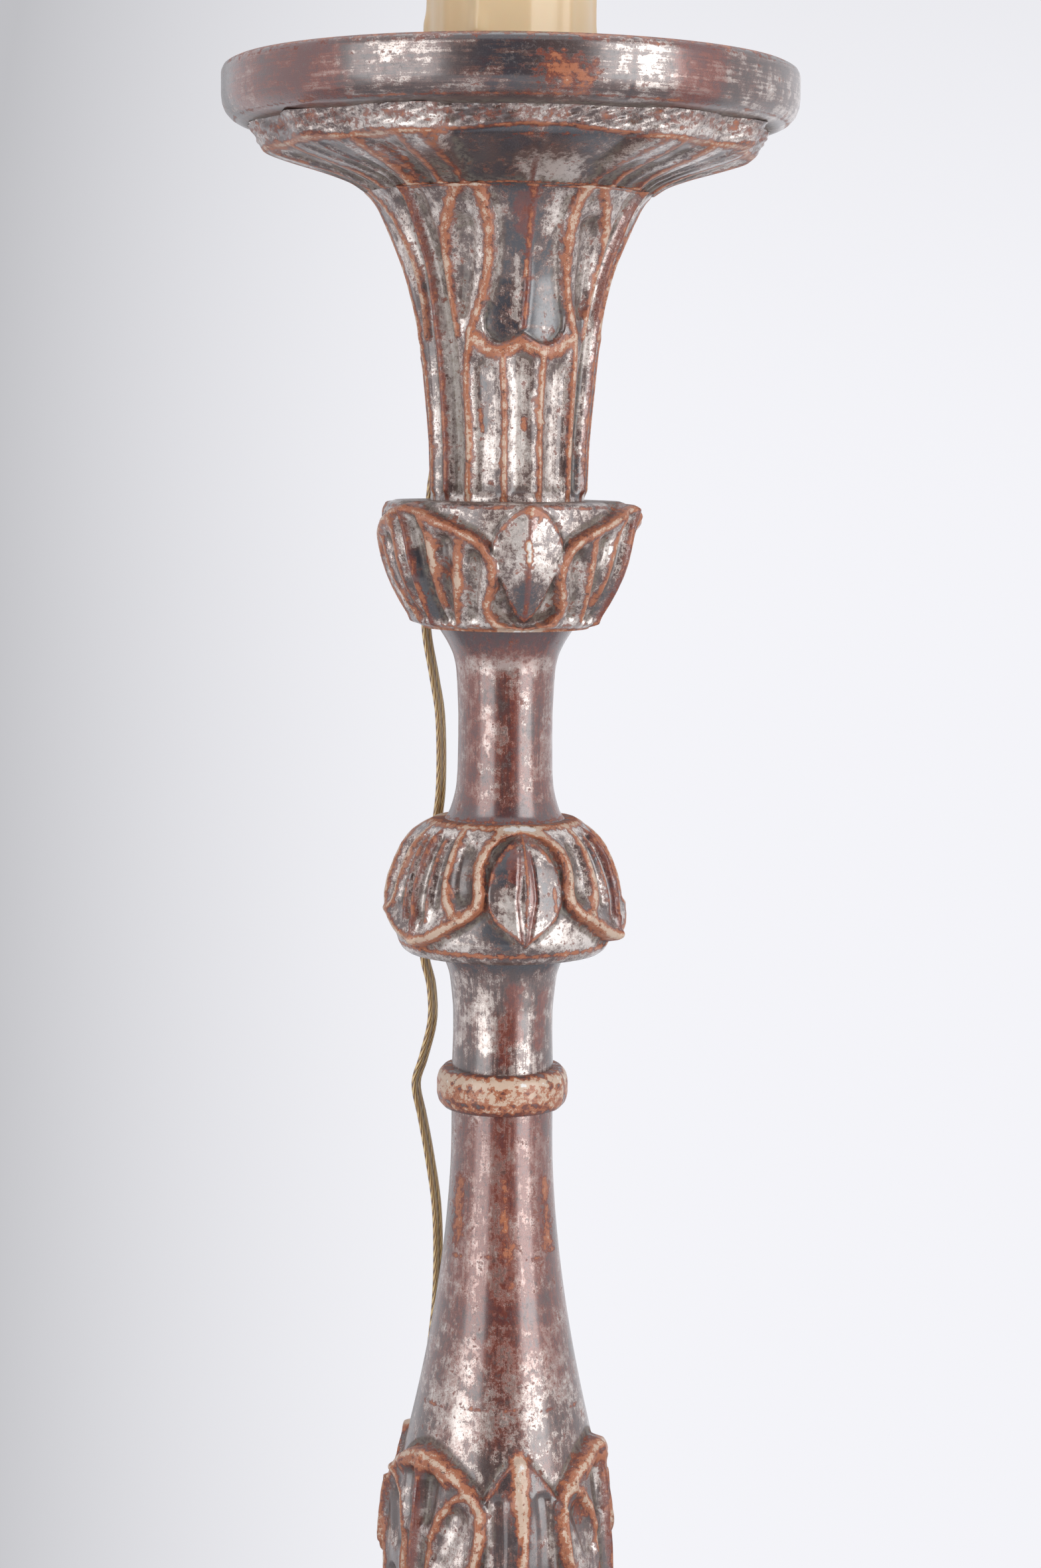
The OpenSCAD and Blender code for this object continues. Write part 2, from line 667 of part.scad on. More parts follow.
module flange() {
  color(steel) difference() {
    union() {
      disc(dish_z, flange_t, flange_r);
      disc(dish_z, boss_h, boss_r);
    }
    disc(dish_z - lap, boss_h + 2 * lap, tube_r + fit);
    at_screws(flange_screw_ring, dish_z - lap) cylinder(r = flange_screw_r + fit, h = flange_t + 2 * lap);
  }
}

module flange_screws() {
  color(steel) at_screws(flange_screw_ring, dish_z - flange_screw_l) union() {
    cylinder(r = flange_screw_r, h = flange_screw_l + flange_t);
    translate([0, 0, flange_screw_l + flange_t]) cylinder(r = 2 * flange_screw_r, h = 1.8);
  }
}

module threaded_tube() {
  foot = pan_z - tube_in;
  color(brass) ring(foot, holder_z + holder_floor + 2 - foot, tube_r, cord_w / 2 + 0.7);
}

module lock_nuts() {
  color(brass) for (z = [dish_z + boss_h, holder_z - nut_h]) difference() {
    translate([0, 0, z]) cylinder(r = nut_r, h = nut_h, $fn = 6);
    disc(z - lap, nut_h + 2 * lap, tube_r + fit);
  }
}

module holder_cap() {
  color(brass) difference() {
    disc(holder_z, holder_split, holder_r);
    disc(holder_z - lap, holder_floor + 2 * lap, tube_r + fit);
    disc(holder_z + holder_floor, holder_split, insert_r - 1.6);
    disc(holder_z + holder_ledge, holder_split, holder_r - holder_wall);
  }
}

module holder_skirt() {
  color(brass) ring(holder_z + holder_split, holder_h - holder_split, holder_r, holder_r - holder_wall);
}

module holder_insert() {
  z = holder_z + holder_ledge;
  color([0.9, 0.88, 0.84]) difference() {
    disc(z, insert_h, insert_r);
    for (s = [-1, 1]) translate([s * terminal_ring, 0, 0])
      disc(z - lap, insert_h + 2 * lap, terminal_r + fit);
  }
}

module screw_shell() {
  inner = bulb_cap_r + fit;
  color(brass) ring(holder_z + holder_ledge + insert_h, shell_h, inner + shell_t, inner);
}

module contact_tongue() { color(brass) disc(contact_z - contact_h, contact_h, 2.5); }

module terminal_screws() {
  top = holder_z + holder_ledge + insert_h;
  color(brass) for (s = [-1, 1]) translate([s * terminal_ring, 0, 0]) union() {
    disc(top - 8, 8, terminal_r);
    disc(top, 1.8, terminal_r + 0.8);
  }
}

module candle_sleeve() {
  top_t = 4;
  color(candle_resin) difference() {
    disc(dish_z, sleeve_h, sleeve_r);
    disc(dish_z - lap, sleeve_h - top_t + lap, sleeve_r - sleeve_wall);
    disc(sleeve_top - top_t - lap, top_t + 2 * lap, mouth_r);
  }
}

bulb_cap_h = 25;      // height of the bulb's cap above its contact
bulb_contact_h = 2.5;
bulb_floor = 3;
bulb_neck_r = bulb_cap_r - 0.85;
// The bulb's glass: [height above the contact, radius].
glass_outline = [[19, bulb_neck_r], [bulb_cap_h + 0.5, bulb_neck_r], [30, bulb_r * 0.55], [38, bulb_r * 0.82],
  [47, bulb_r * 0.97], [55, bulb_r], [65, bulb_r * 0.92], [75, bulb_r * 0.73], [84, bulb_r * 0.48],
  [bulb_h - 6, bulb_r * 0.22], [bulb_h - 1, bulb_r * 0.06]];

module bulb_cap() {
  color(steel) difference() {
    disc(contact_z + bulb_contact_h, bulb_cap_h - bulb_contact_h, bulb_cap_r);
    disc(contact_z + bulb_contact_h + bulb_floor, bulb_cap_h, bulb_neck_r + fit);
  }
}

module bulb_contact() { color(brass) disc(contact_z, bulb_contact_h, 2.4); }

module bulb_glass() {
  inner = [for (p = glass_outline) [max(0, p[1] - glass_wall), p[0]]];
  color([0.9, 0.92, 0.95, 0.5]) translate([0, 0, contact_z]) rotate_extrude()
    polygon(concat([for (p = glass_outline) [p[1], p[0]]], [[0, bulb_h], [0, bulb_h - 4]],
      [for (i = [len(inner) - 2:-1:0]) inner[i]]));
}

stem_top = 44;

module bulb_stem() {
  foot = bulb_contact_h + bulb_floor;
  color([0.85, 0.88, 0.9]) turned(contact_z, [[foot, 4.2], [foot + 12, 4.2], [foot + 18, 2.4],
    [stem_top - 2, 2], [stem_top, 1]]);
}

// Two support wires and the glowing wire between them.
module bulb_filament() {
  span = 5;
  rise = 12;
  wire = 0.35;
  color(steel) translate([0, 0, contact_z + stem_top + wire + fit]) union() {
    rotate([0, 90, 0]) cylinder(r = wire, h = 2 * span, center = true);
    for (s = [-1, 1]) translate([s * span, 0, 0]) union() {
      cylinder(r = wire, h = rise);
      sphere(wire);
    }
    translate([0, 0, rise]) rotate([0, 90, 0]) cylinder(r = 0.8, h = 2 * span + 1, center = true);
  }
}

// ------------------------------------------------------------ cord

// A tube along a route; wide[i] is the direction of the section's width at each point.
module cord_tube(route, wide, sides = 8) {
  last = len(route) - 1;
  scale_out = 1 / cos(180 / sides);
  rings = [for (i = [0:last])
    let (along = unit(route[min(i + 1, last)] - route[max(i - 1, 0)]),
      side = unit(wide[i] - along * (along * wide[i])), flat = cross(along, side))
    each [for (k = [0:sides - 1]) let (a = 360 * (k + 0.5) / sides)
      route[i] + scale_out * (cord_w / 2 * cos(a) * side + cord_t / 2 * sin(a) * flat)]];
  skin = [for (i = [0:last - 1]) for (k = [0:sides - 1])
    let (m = (k + 1) % sides, a = i * sides + k, b = i * sides + m, c = a + sides, d = b + sides)
    each [[a, c, b], [b, c, d]]];
  start = [for (k = [0:sides - 1]) k];
  end = [for (k = [sides - 1:-1:0]) last * sides + k];
  polyhedron(rings, concat(skin, [start, end]));
}

exit_side = concat(polar(1, exit_angle + 90), 0);
exit_mouth = concat(polar(exit_reach, exit_angle), exit_z);

module exit_bush() {
  color(brass) at_exit() difference() {
    union() {
      disc(exit_run - bush_l, bush_l, channel_r - fit);
      disc(exit_run - bush_flange_t, bush_flange_t, bush_flange_r);
    }
    disc(exit_run - bush_l - lap, bush_l + 2 * lap, cord_w / 2 + 0.5);
  }
}

// The cord inside the stem: down from the lampholder, round one bend and out to the bush.
module inner_lead() {
  bend_r = 11.5;
  turn = 90 - exit_slope;
  reach = bend_r * tan(turn / 2);
  out = polar(1, exit_angle);
  centre = [0, 0, bend_z + reach] + concat(out * bend_r, 0);
  bend = [for (s = [0:0.25:1]) let (a = turn * s)
    centre - bend_r * (concat(out, 0) * cos(a) + [0, 0, 1] * sin(a))];
  route = concat([for (s = [0:0.25:0.75]) [0, 0, holder_z + holder_ledge] * (1 - s) + bend[0] * s],
    bend, [(bend[4] + exit_mouth) / 2, exit_mouth]);
  color(gold_cord) cord_tube(route, [for (p = route) exit_side]);
}

// The cord from the stem to the foot switch. It hangs behind the stem with the soft kinks
// that it keeps from its packing, lies on the base's hollow side and ends in the switch.
drop_points = [[-20, 36, 1143.5], [-24, 43, 1139.5], [-26.5, 48, 1132], [-27.5, 50, 1122],
  [-29, 52.5, 1108], [-30.5, 53, 1080], [-31, 53, 1047], [-27, 52.5, 1022], [-24, 52, 1002],
  [-23.5, 52, 971], [-25.5, 52.5, 950], [-29.5, 53, 918], [-31, 53, 890], [-27.5, 52.5, 873],
  [-27, 52, 856], [-31, 53, 838], [-34.5, 53.5, 825], [-31.5, 53, 809], [-28, 52.5, 790],
  [-24.5, 52, 766], [-23.5, 52, 742], [-24, 53, 716], [-27, 54, 686], [-30, 55, 650],
  [-33, 55, 610], [-36, 54, 565], [-39, 52, 515], [-42, 50, 460], [-44.5, 48, 405], [-47, 46, 350],
  [-49.5, 44, 295], [-52, 43, 240], [-55, 43, 190], [-59, 44.5, 145], [-65, 48, 103], [-73, 53, 66],
  [-83, 60, 34], [-93, 68, 14], [-103, 78, 4], [-112, 91, 1.5], [-119, 107, 1.3], [-123, 125, 1.3],
  [-124, 145, 1.3], [-122, 163, 1.5], [-116, 177, 3], [-108, 186, 5.5], [-98, 190, 8]];
switch_at = [-40, 190];
gland_l = 20;
gland_z = 8;      // height of the cord where it enters the switch

module cord_drop() {
  route = concat([exit_mouth], drop_points);
  color(gold_cord) cord_tube(route, [for (i = [0:len(route) - 1])
    let (p = route[i], along = unit(route[min(i + 1, len(route) - 1)] - route[max(i - 1, 0)]),
      lying = smooth(60, 5, p[2]), out = unit([p[0], p[1], 0]) * (1 - lying) + [0, 0, 1] * lying)
    cross(along, out)]);
}

// The coil: loops that spiral in and out again, one layer above the other.
coil_at = [95, 130];
coil_outer = 34.6;    // radius of the outermost loop's middle line
coil_pitch = 5.8;     // distance between loops, sideways and upwards
coil_turns_in = 2;    // loops in a layer
coil_layers = 4;
coil_rings = 24;      // rings of a loop
coil_loops = coil_turns_in * coil_layers;

function fold(t) = abs((t + coil_turns_in) % (2 * coil_turns_in) - coil_turns_in);
function climb(t) = let (n = min(coil_layers - 1, max(1, round(t / coil_turns_in))))
  n - 1 + smooth(-0.25, 0.25, t - n * coil_turns_in);
function coil_point(t) = let (r = coil_outer - coil_pitch * fold(t), a = 90 - 360 * t)
  [coil_at[0] + r * cos(a), coil_at[1] + r * sin(a), cord_w / 2 + coil_pitch * climb(t)];
coil_end = coil_loops + 0.25;
coil_route = [for (i = [0:coil_rings * coil_end]) coil_point(i / coil_rings)];
// The least gap between two loops, measured between the boxes that hold their sections.
function coil_gap() = min([for (i = [0:len(coil_route) - 1]) for (n = [1:coil_loops])
  for (k = [-3:3]) let (j = i + n * coil_rings + k)
    if (j < len(coil_route)) let (p = coil_route[i], q = coil_route[j],
      side = abs(norm([p[0], p[1]] - coil_at) - norm([q[0], q[1]] - coil_at)))
      max(side - cord_t, abs(p[2] - q[2]) - cord_w)]);

module cord_coil() {
  echo(coil_gap_mm = coil_gap());
  color(gold_cord) cord_tube(coil_route, [for (p = coil_route) [0, 0, 1]], 6);
}

// From the switch into the coil, on edge.
lead_points = [[18, 190, 8], [28, 189.5, 6], [40, 187.5, 3.6], [52, 183, 2.6], [64, 176, 2.6],
  [75, 169.6, 2.6], [85, 165.6, 2.6]];

module cord_lead() {
  route = concat(lead_points, [coil_route[0]]);
  color(gold_cord) cord_tube(route, [for (p = route) [0, 0, 1]]);
}

// From the coil down to the plug.
tail_points = [[128, 120, 19.3], [128, 110, 16.4], [128, 100, 12.6], [128, 90, 9.4],
  [128, 82, 7.5], [128, 75, 6.8]];
plug_at = tail_points[len(tail_points) - 1];
plug_gland_l = 25;

module cord_tail() {
  route = concat([coil_route[len(coil_route) - 1]], tail_points);
  color(gold_cord) cord_tube(route, [for (p = route) [0, 0, 1]]);
}

// ------------------------------------------------------------ foot switch

module at_switch() { translate([switch_at[0], switch_at[1], 0]) children(); }

// A plate with rounded corners, its length along X.
module rounded_plate(l, w, r, h) {
  linear_extrude(h) union() {
    square([l - 2 * r, w], center = true);
    square([l, w - 2 * r], center = true);
    for (x = [-1, 1]) for (y = [-1, 1]) translate([x * (l / 2 - r), y * (w / 2 - r)]) circle(r);
  }
}

switch_corner = 12;
switch_screw_x = switch_l / 2 - 9;
switch_screw_r = 1.4;
switch_screw_l = 12;
switch_head_h = 1.6;
boss_gap = 0.3;       // running clearance of the button
flange_lip = 2;       // width of the button's retaining flange
flange_lip_t = 2.5;
button_foot = switch_h - switch_wall - boss_gap - flange_lip_t;
spigot_r = 3.6;

module switch_base() {
  color(dark_plastic) at_switch() difference() {
    rounded_plate(switch_l, switch_w, switch_corner, switch_plate);
    for (s = [-1, 1]) translate([s * switch_screw_x, 0, 0]) union() {
      disc(-lap, switch_plate + 2 * lap, switch_screw_r + fit);
      disc(-lap, lap + switch_head_h + 0.4, 2 * switch_screw_r + fit);
    }
  }
}

module switch_cover() {
  inside = switch_h - switch_wall - switch_plate;
  color(dark_plastic) at_switch() difference() {
    union() {
      difference() {
        translate([0, 0, switch_plate])
          rounded_plate(switch_l, switch_w, switch_corner, switch_h - switch_plate);
        translate([0, 0, switch_plate - lap]) rounded_plate(switch_l - 2 * switch_wall,
          switch_w - 2 * switch_wall, switch_corner - switch_wall, inside + lap);
      }
      for (s = [-1, 1]) translate([s * switch_screw_x, 0, 0])
        disc(switch_plate, inside + lap, 2 * switch_screw_r + 0.8);
    }
    disc(switch_plate, switch_h, button_r + boss_gap);
    for (s = [-1, 1]) translate([s * switch_l / 2, 0, gland_z]) rotate([0, 90, 0])
      disc(-switch_wall - lap, 2 * switch_wall + 2 * lap, spigot_r + fit);
    for (s = [-1, 1]) translate([s * switch_screw_x, 0, 0])
      disc(switch_plate - lap, switch_screw_l, switch_screw_r + fit);
  }
}

module switch_button() {
  color(dark_plastic) at_switch() union() {
    disc(button_foot, flange_lip_t, button_r + flange_lip);
    disc(button_foot, switch_h + button_rise - button_foot - 1.5, button_r);
    translate([0, 0, switch_h + button_rise - 1.5]) cylinder(r1 = button_r, r2 = button_r - 1.5, h = 1.5);
  }
}

// A spring of round coils under the button.
module switch_spring() {
  loops = 5;
  spring_r = 5;
  steps = 8;
  wire = 0.5;
  rise = button_foot - switch_plate - 2 * wire;
  route = [for (i = [0:loops * steps]) let (a = 360 * i / steps)
    [switch_at[0] + spring_r * cos(a), switch_at[1] + spring_r * sin(a),
      switch_plate + wire + rise * i / (loops * steps)]];
  color(steel) wire_tube(route, wire, 6);
}

// A round wire along a route that keeps off the vertical.
module wire_tube(route, r, sides) {
  last = len(route) - 1;
  points = [for (i = [0:last])
    let (along = unit(route[min(i + 1, last)] - route[max(i - 1, 0)]),
      side = unit(cross(along, [0, 0, 1])), up = cross(side, along))
    each [for (k = [0:sides - 1]) route[i] + r * (cos(360 * k / sides) * side + sin(360 * k / sides) * up)]];
  skin = [for (i = [0:last - 1]) for (k = [0:sides - 1])
    let (m = (k + 1) % sides, a = i * sides + k, b = i * sides + m, c = a + sides, d = b + sides)
    each [[a, b, c], [b, d, c]]];
  polyhedron(points, concat(skin, [[for (k = [sides - 1:-1:0]) k]],
    [[for (k = [0:sides - 1]) last * sides + k]]));
}

module switch_contacts() {
  color(brass) at_switch() for (s = [-1, 1])
    translate([s * (button_r + flange_lip + 2) - 3, -8, switch_plate])
    cube([6, 16, 1.2]);
}

module gland_shape(l, root_r, tip_r, bore_r) {
  rotate_extrude() polygon([[bore_r, -switch_wall - 1], [spigot_r, -switch_wall - 1], [spigot_r, 0],
    [root_r, 0], [root_r, 2], [tip_r, l], [bore_r, l]]);
}

module switch_glands() {
  color(dark_plastic) at_switch() for (s = [-1, 1])
    translate([s * switch_l / 2, 0, gland_z]) rotate([0, s * 90, 0])
      gland_shape(gland_l, 6, 3.8, cord_w / 2 + 0.4);
}

module switch_screws() {
  color(steel) at_switch() for (s = [-1, 1]) translate([s * switch_screw_x, 0, 0]) union() {
    disc(0.4, switch_head_h, 2 * switch_screw_r);
    disc(0.4, switch_screw_l - 2, switch_screw_r);
  }
}

// ------------------------------------------------------------ plug

// Moves a piece made along +X, from the cord to the pins, onto the plug's place.
module at_plug() { translate(plug_at) rotate([0, 0, -90]) children(); }

pin_in = 12;
pin_root = 0.4;       // how much thicker a pin is inside the body

module plug_body() {
  nose = 0.62;     // where the body is widest, as a share of its length
  color(dark_plastic) at_plug() difference() {
    translate([plug_gland_l, 0, -plug_t / 2]) linear_extrude(plug_t)
      polygon([[0, -7], [4, -11], [plug_l * nose, -plug_w / 2], [plug_l, -plug_w / 2 + 2],
        [plug_l, plug_w / 2 - 2], [plug_l * nose, plug_w / 2], [4, 11], [0, 7]]);
    for (s = [-1, 1]) translate([plug_gland_l + plug_l, s * pin_pitch / 2, 0]) rotate([0, 90, 0])
      disc(-pin_in - fit, pin_in + fit + lap, pin_r + pin_root + fit);
    translate([plug_gland_l, 0, 0]) rotate([0, 90, 0])
      disc(-lap, lap + switch_wall + 1 + fit, spigot_r + fit);
  }
}

module plug_gland() {
  color(dark_plastic) translate(plug_at + [0, -plug_gland_l, 0]) rotate([-90, 0, 0])
    gland_shape(plug_gland_l, 6, 3.8, cord_w / 2 + 0.4);
}

module plug_pins() {
  color(steel) at_plug() for (s = [-1, 1])
    translate([plug_gland_l + plug_l, s * pin_pitch / 2, 0]) rotate([0, 90, 0]) union() {
      disc(-pin_in, pin_in, pin_r + pin_root);
      disc(-lap, lap + pin_l - 1, pin_r);
      translate([0, 0, pin_l - 1]) cylinder(r1 = pin_r, r2 = pin_r - 0.8, h = 1);
    }
}

// ------------------------------------------------------------ nodes

plinth();
base_block();
scroll(60);  // scroll_right
scroll(-60);  // scroll_left
scroll(180);  // scroll_back
dowels();
base_cap();
knop();
baluster();
collar_ring();
neck();
drooping_cup();
spool();
rising_cup();
trumpet();
flare_block();
drip_pan();
pan_screws();
flange();
flange_screws();
threaded_tube();
lock_nuts();
holder_cap();
holder_skirt();
holder_insert();
screw_shell();
contact_tongue();
terminal_screws();
inner_lead();
candle_sleeve();
bulb_cap();
bulb_contact();
bulb_glass();
bulb_stem();
bulb_filament();
exit_bush();
cord_drop();
switch_base();
switch_cover();
switch_button();
switch_spring();
switch_contacts();
switch_glands();
switch_screws();
cord_lead();
cord_coil();
cord_tail();
plug_body();
plug_gland();
plug_pins();
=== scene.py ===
"""Candlestick floor lamp: the visual model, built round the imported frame.

The tables are in millimetres and degrees, as in the part's source, and the meshes in metres.
Angles round the stem are counted from the front (-Y) and grow towards +X.
"""

import logging
import math
from dataclasses import dataclass, field
from enum import Enum
from typing import ClassVar

import bmesh
import bpy
import numpy as np
from mathutils import Matrix, Vector


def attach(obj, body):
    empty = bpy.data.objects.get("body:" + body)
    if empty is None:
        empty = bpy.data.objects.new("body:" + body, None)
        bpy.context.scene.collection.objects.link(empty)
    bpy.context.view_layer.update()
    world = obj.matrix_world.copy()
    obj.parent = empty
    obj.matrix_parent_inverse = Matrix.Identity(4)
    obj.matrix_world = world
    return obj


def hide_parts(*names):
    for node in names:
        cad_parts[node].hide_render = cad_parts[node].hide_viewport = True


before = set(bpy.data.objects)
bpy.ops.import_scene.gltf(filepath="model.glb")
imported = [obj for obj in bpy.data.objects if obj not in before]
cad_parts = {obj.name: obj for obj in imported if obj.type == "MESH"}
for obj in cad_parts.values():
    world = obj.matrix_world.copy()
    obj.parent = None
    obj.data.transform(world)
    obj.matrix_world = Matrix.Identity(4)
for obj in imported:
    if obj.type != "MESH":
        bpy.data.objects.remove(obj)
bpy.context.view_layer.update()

LOG = logging.getLogger("candlestick")
MM = 0.001
SECTOR = 120.0      # the carving repeats three times round the stem
Array = np.ndarray
Points = tuple[tuple[float, float], ...]
Colour = tuple[float, float, float]

# Levels of the stack, from the floor up.
BLOCK_Z, CAP_Z, KNOP_Z, BALUSTER_Z, CALYX_Z, TIPS_Z = 24.0, 340.0, 378.0, 454.0, 504.0, 674.0
COLLAR_Z, NECK_Z, DROOP_Z, SPOOL_Z, RISE_Z, TRUMPET_Z = 825.5, 844.0, 899.0, 960.5, 1048.5, 1106.5
FLARE_Z, PAN_Z, DISH_Z, PAN_TOP, SLEEVE_TOP, CONTACT_Z = 1244.0, 1273.0, 1297.0, 1300.0, 1457.0, 1423.0


# ------------------------------------------------------------------ sums

def smooth(low: float, high: float, x: Array) -> Array:
    """Return 0 below low, 1 above high and a smooth rise between them."""
    t = np.clip((x - low) / (high - low), 0.0, 1.0)
    return t * t * (3.0 - 2.0 * t)


def ridge(x: Array, width: float) -> Array:
    """Return a rounded ridge of height 1 round x = 0."""
    return np.exp(-np.square(x / width))


def off_small(angle: Array) -> Array:
    """Return the angle from the middle of the nearest small leaf, 0 to 60."""
    return np.abs((angle + 4.5 * SECTOR) % SECTOR - SECTOR / 2)


def off_large(angle: Array) -> Array:
    """Return the angle from the middle of the nearest large leaf or corner, 0 to 60."""
    return SECTOR / 2 - off_small(angle)


def along(points: Points, x: Array) -> Array:
    """Return the table's value at x, straight between its points."""
    table = np.array(points, float)
    return np.interp(x, table[:, 0], table[:, 1])


def line_distance(line: Points, u: Array, v: Array) -> tuple[Array, Array]:
    """Measure points against a line.

    Args:
        line: The line's points.
        u, v: Coordinates of the points to measure.

    Returns:
        The distance of each point from the line, and where along it the nearest place is, 0 to 1.
    """
    pts = np.array(line, float)
    lengths = np.hypot(*np.diff(pts, axis=0).T)
    starts = np.concatenate([[0.0], np.cumsum(lengths)])
    best = np.full(u.shape, np.inf)
    share = np.zeros(u.shape)
    for i, length in enumerate(lengths):
        (x0, y0), (x1, y1) = pts[i], pts[i + 1]
        t = np.clip(((u - x0) * (x1 - x0) + (v - y0) * (y1 - y0)) / max(length * length, 1e-9), 0.0, 1.0)
        d = np.hypot(u - x0 - t * (x1 - x0), v - y0 - t * (y1 - y0))
        near = d < best
        best = np.where(near, d, best)
        share = np.where(near, (starts[i] + t * length) / starts[-1], share)
    return best, share


def inside(outline: Points, u: Array, v: Array) -> Array:
    """Return True for the points inside a closed outline."""
    pts = np.array(outline, float)
    found = np.zeros(u.shape, bool)
    for (x0, y0), (x1, y1) in zip(pts, np.roll(pts, -1, axis=0)):
        if y0 == y1:
            continue
        crosses = (y0 > v) != (y1 > v)
        found ^= crosses & (u < x0 + (v - y0) * (x1 - x0) / (y1 - y0))
    return found


def ragged(u: Array, v: Array) -> Array:
    """Return a wavy value from -1 to 1 that roughens the edge of a mark, from millimetres u and v."""
    first = np.sin(1.1 * u + 2.1 * np.sin(0.53 * v)) + np.sin(0.83 * v + 1.7 * np.sin(0.61 * u + 1.0))
    second = np.sin(2.3 * u - 1.9 * v + 1.3 * np.sin(1.4 * v)) + np.sin(2.7 * v + 0.7 * u)
    return 0.32 * first + 0.18 * second


def rounded_path(points: list, step: float) -> Array:
    """Run a smooth curve through points.

    Args:
        points: The points, each with three coordinates.
        step: Distance between the new points, in the same unit.

    Returns:
        Points of the curve, one row each, at even distances.
    """
    p = np.array(points, float)
    p = np.vstack([2 * p[0] - p[1], p, 2 * p[-1] - p[-2]])
    rows = []
    for i in range(1, len(p) - 2):
        a, b, c, d = p[i - 1:i + 3]
        for t in np.linspace(0, 1, 16, endpoint=False):
            rows.append(0.5 * (2 * b + (c - a) * t + (2 * a - 5 * b + 4 * c - d) * t * t
                               + (3 * b - a - 3 * c + d) * t ** 3))
    rows.append(p[-2])
    rows = np.array(rows)
    run = np.concatenate([[0.0], np.cumsum(np.linalg.norm(np.diff(rows, axis=0), axis=1))])
    even = np.linspace(0, run[-1], max(2, int(round(run[-1] / step)) + 1))
    return np.stack([np.interp(even, run, rows[:, k]) for k in range(3)], axis=1)


# ------------------------------------------------------------------ carving

class MarkKind(Enum):
    """What a mark changes: the brightness of the silver, the red under it, or how far it is rubbed."""

    TONE = "tone"
    RED = "red"
    RUB = "rub"


@dataclass
class Cut:
    """What tools, years and polishing leave at each point of a surface, and the light and shade painted into
    it.

    Attributes:
        height: Millimetres above the turned body.
        rub: How far the finish is rubbed through: 0.4 shows clay, 0.8 gesso, 1.4 a bare chip.
        tone: From -1, dark and smooth, to 1, bright brushed silver; some marks paint highlights and dark
            reflections into it.
        red: How much of the red ground shows, 0 to 1.
    """

    height: Array
    rub: Array
    tone: Array
    red: Array

    @classmethod
    def none(cls, shape: tuple) -> "Cut":
        """Return an untouched surface."""
        return cls(*(np.zeros(shape) for _ in range(4)))

    def add(self, other: "Cut") -> None:
        """Lay another cut over this one."""
        self.height = self.height + other.height
        self.rub = np.maximum(self.rub, other.rub)
        self.tone = self.tone + other.tone
        self.red = np.maximum(self.red, other.red)


@dataclass(frozen=True)
class Stroke:
    """One pass of a tool along a line: a rounded rib, or a round-ended flute where height is negative."""

    line: Points
    width: float
    height: float
    rub: float = 0.0
    end: float = 1.0        # width and height at the line's end, as a share of the start's
    tone: float = 0.0
    red: float = 0.0

    def on(self, a: Array, z: Array, scale: float) -> Cut:
        """Return the stroke's cut at folded angles a and heights z."""
        flat = tuple((x * scale, y) for x, y in self.line)
        d, t = line_distance(flat, a * scale, z)
        size = 1.0 + (self.end - 1.0) * t
        x = 2.0 * d / (self.width * size)
        power = 4 if self.height < 0 else 2
        form, worn = np.exp(-x ** power), np.exp(-np.square(x / 0.95))
        return Cut(form * self.height * size, worn * self.rub, form * self.tone, worn * self.red)


@dataclass(frozen=True)
class Blade:
    """A raised or sunk field with an outline, such as a leaf or a panel."""

    outline: Points
    height: float
    step: float = 1.2       # width of the slope at its edge
    roll: float = 0.0       # height of the rolled edge inside the outline
    roll_width: float = 4.6
    rub: float = 0.0
    tone: float = 0.0
    scoop: float = 0.0      # depth of the hollow inside the rolled edge

    def on(self, a: Array, z: Array, scale: float) -> Cut:
        """Return the blade's cut at folded angles a and heights z."""
        flat = tuple((x * scale, y) for x, y in self.outline)
        within = inside(flat, a * scale, z)
        d, _ = line_distance(flat, a * scale, z)
        d = np.where(within, d, -d)
        rolled = ridge(d - self.roll_width * 0.48, self.roll_width * 0.5)
        height = self.height * smooth(-self.step / 2, self.step / 2, d) + self.roll * rolled * (d > -self.step)
        height = height - self.scoop * smooth(0.8 * self.roll_width, 2.0 * self.roll_width, d)
        return Cut(height, self.rub * ridge(d - self.roll_width * 0.46, self.roll_width * 0.5),
                   self.tone * smooth(0.0, self.roll_width * 0.5, d), np.zeros(d.shape))


@dataclass(frozen=True)
class Mark:
    """One mark at its own true angle: most are wear, some are painted highlights and painted dark reflections.
    """

    kind: MarkKind
    amount: float
    width: float
    line: Points


def tone(amount: float, width: float, *line: tuple[float, float]) -> Mark:
    """Return a mark of brighter or darker silver along a line, also used for painted highlights and painted
    dark reflections.
    """
    return Mark(MarkKind.TONE, amount, width, line)


def red(amount: float, width: float, *line: tuple[float, float]) -> Mark:
    """Return a mark of red ground along a line."""
    return Mark(MarkKind.RED, amount, width, line)


def rub(amount: float, width: float, *line: tuple[float, float]) -> Mark:
    """Return a rubbed mark along a line."""
    return Mark(MarkKind.RUB, amount, width, line)


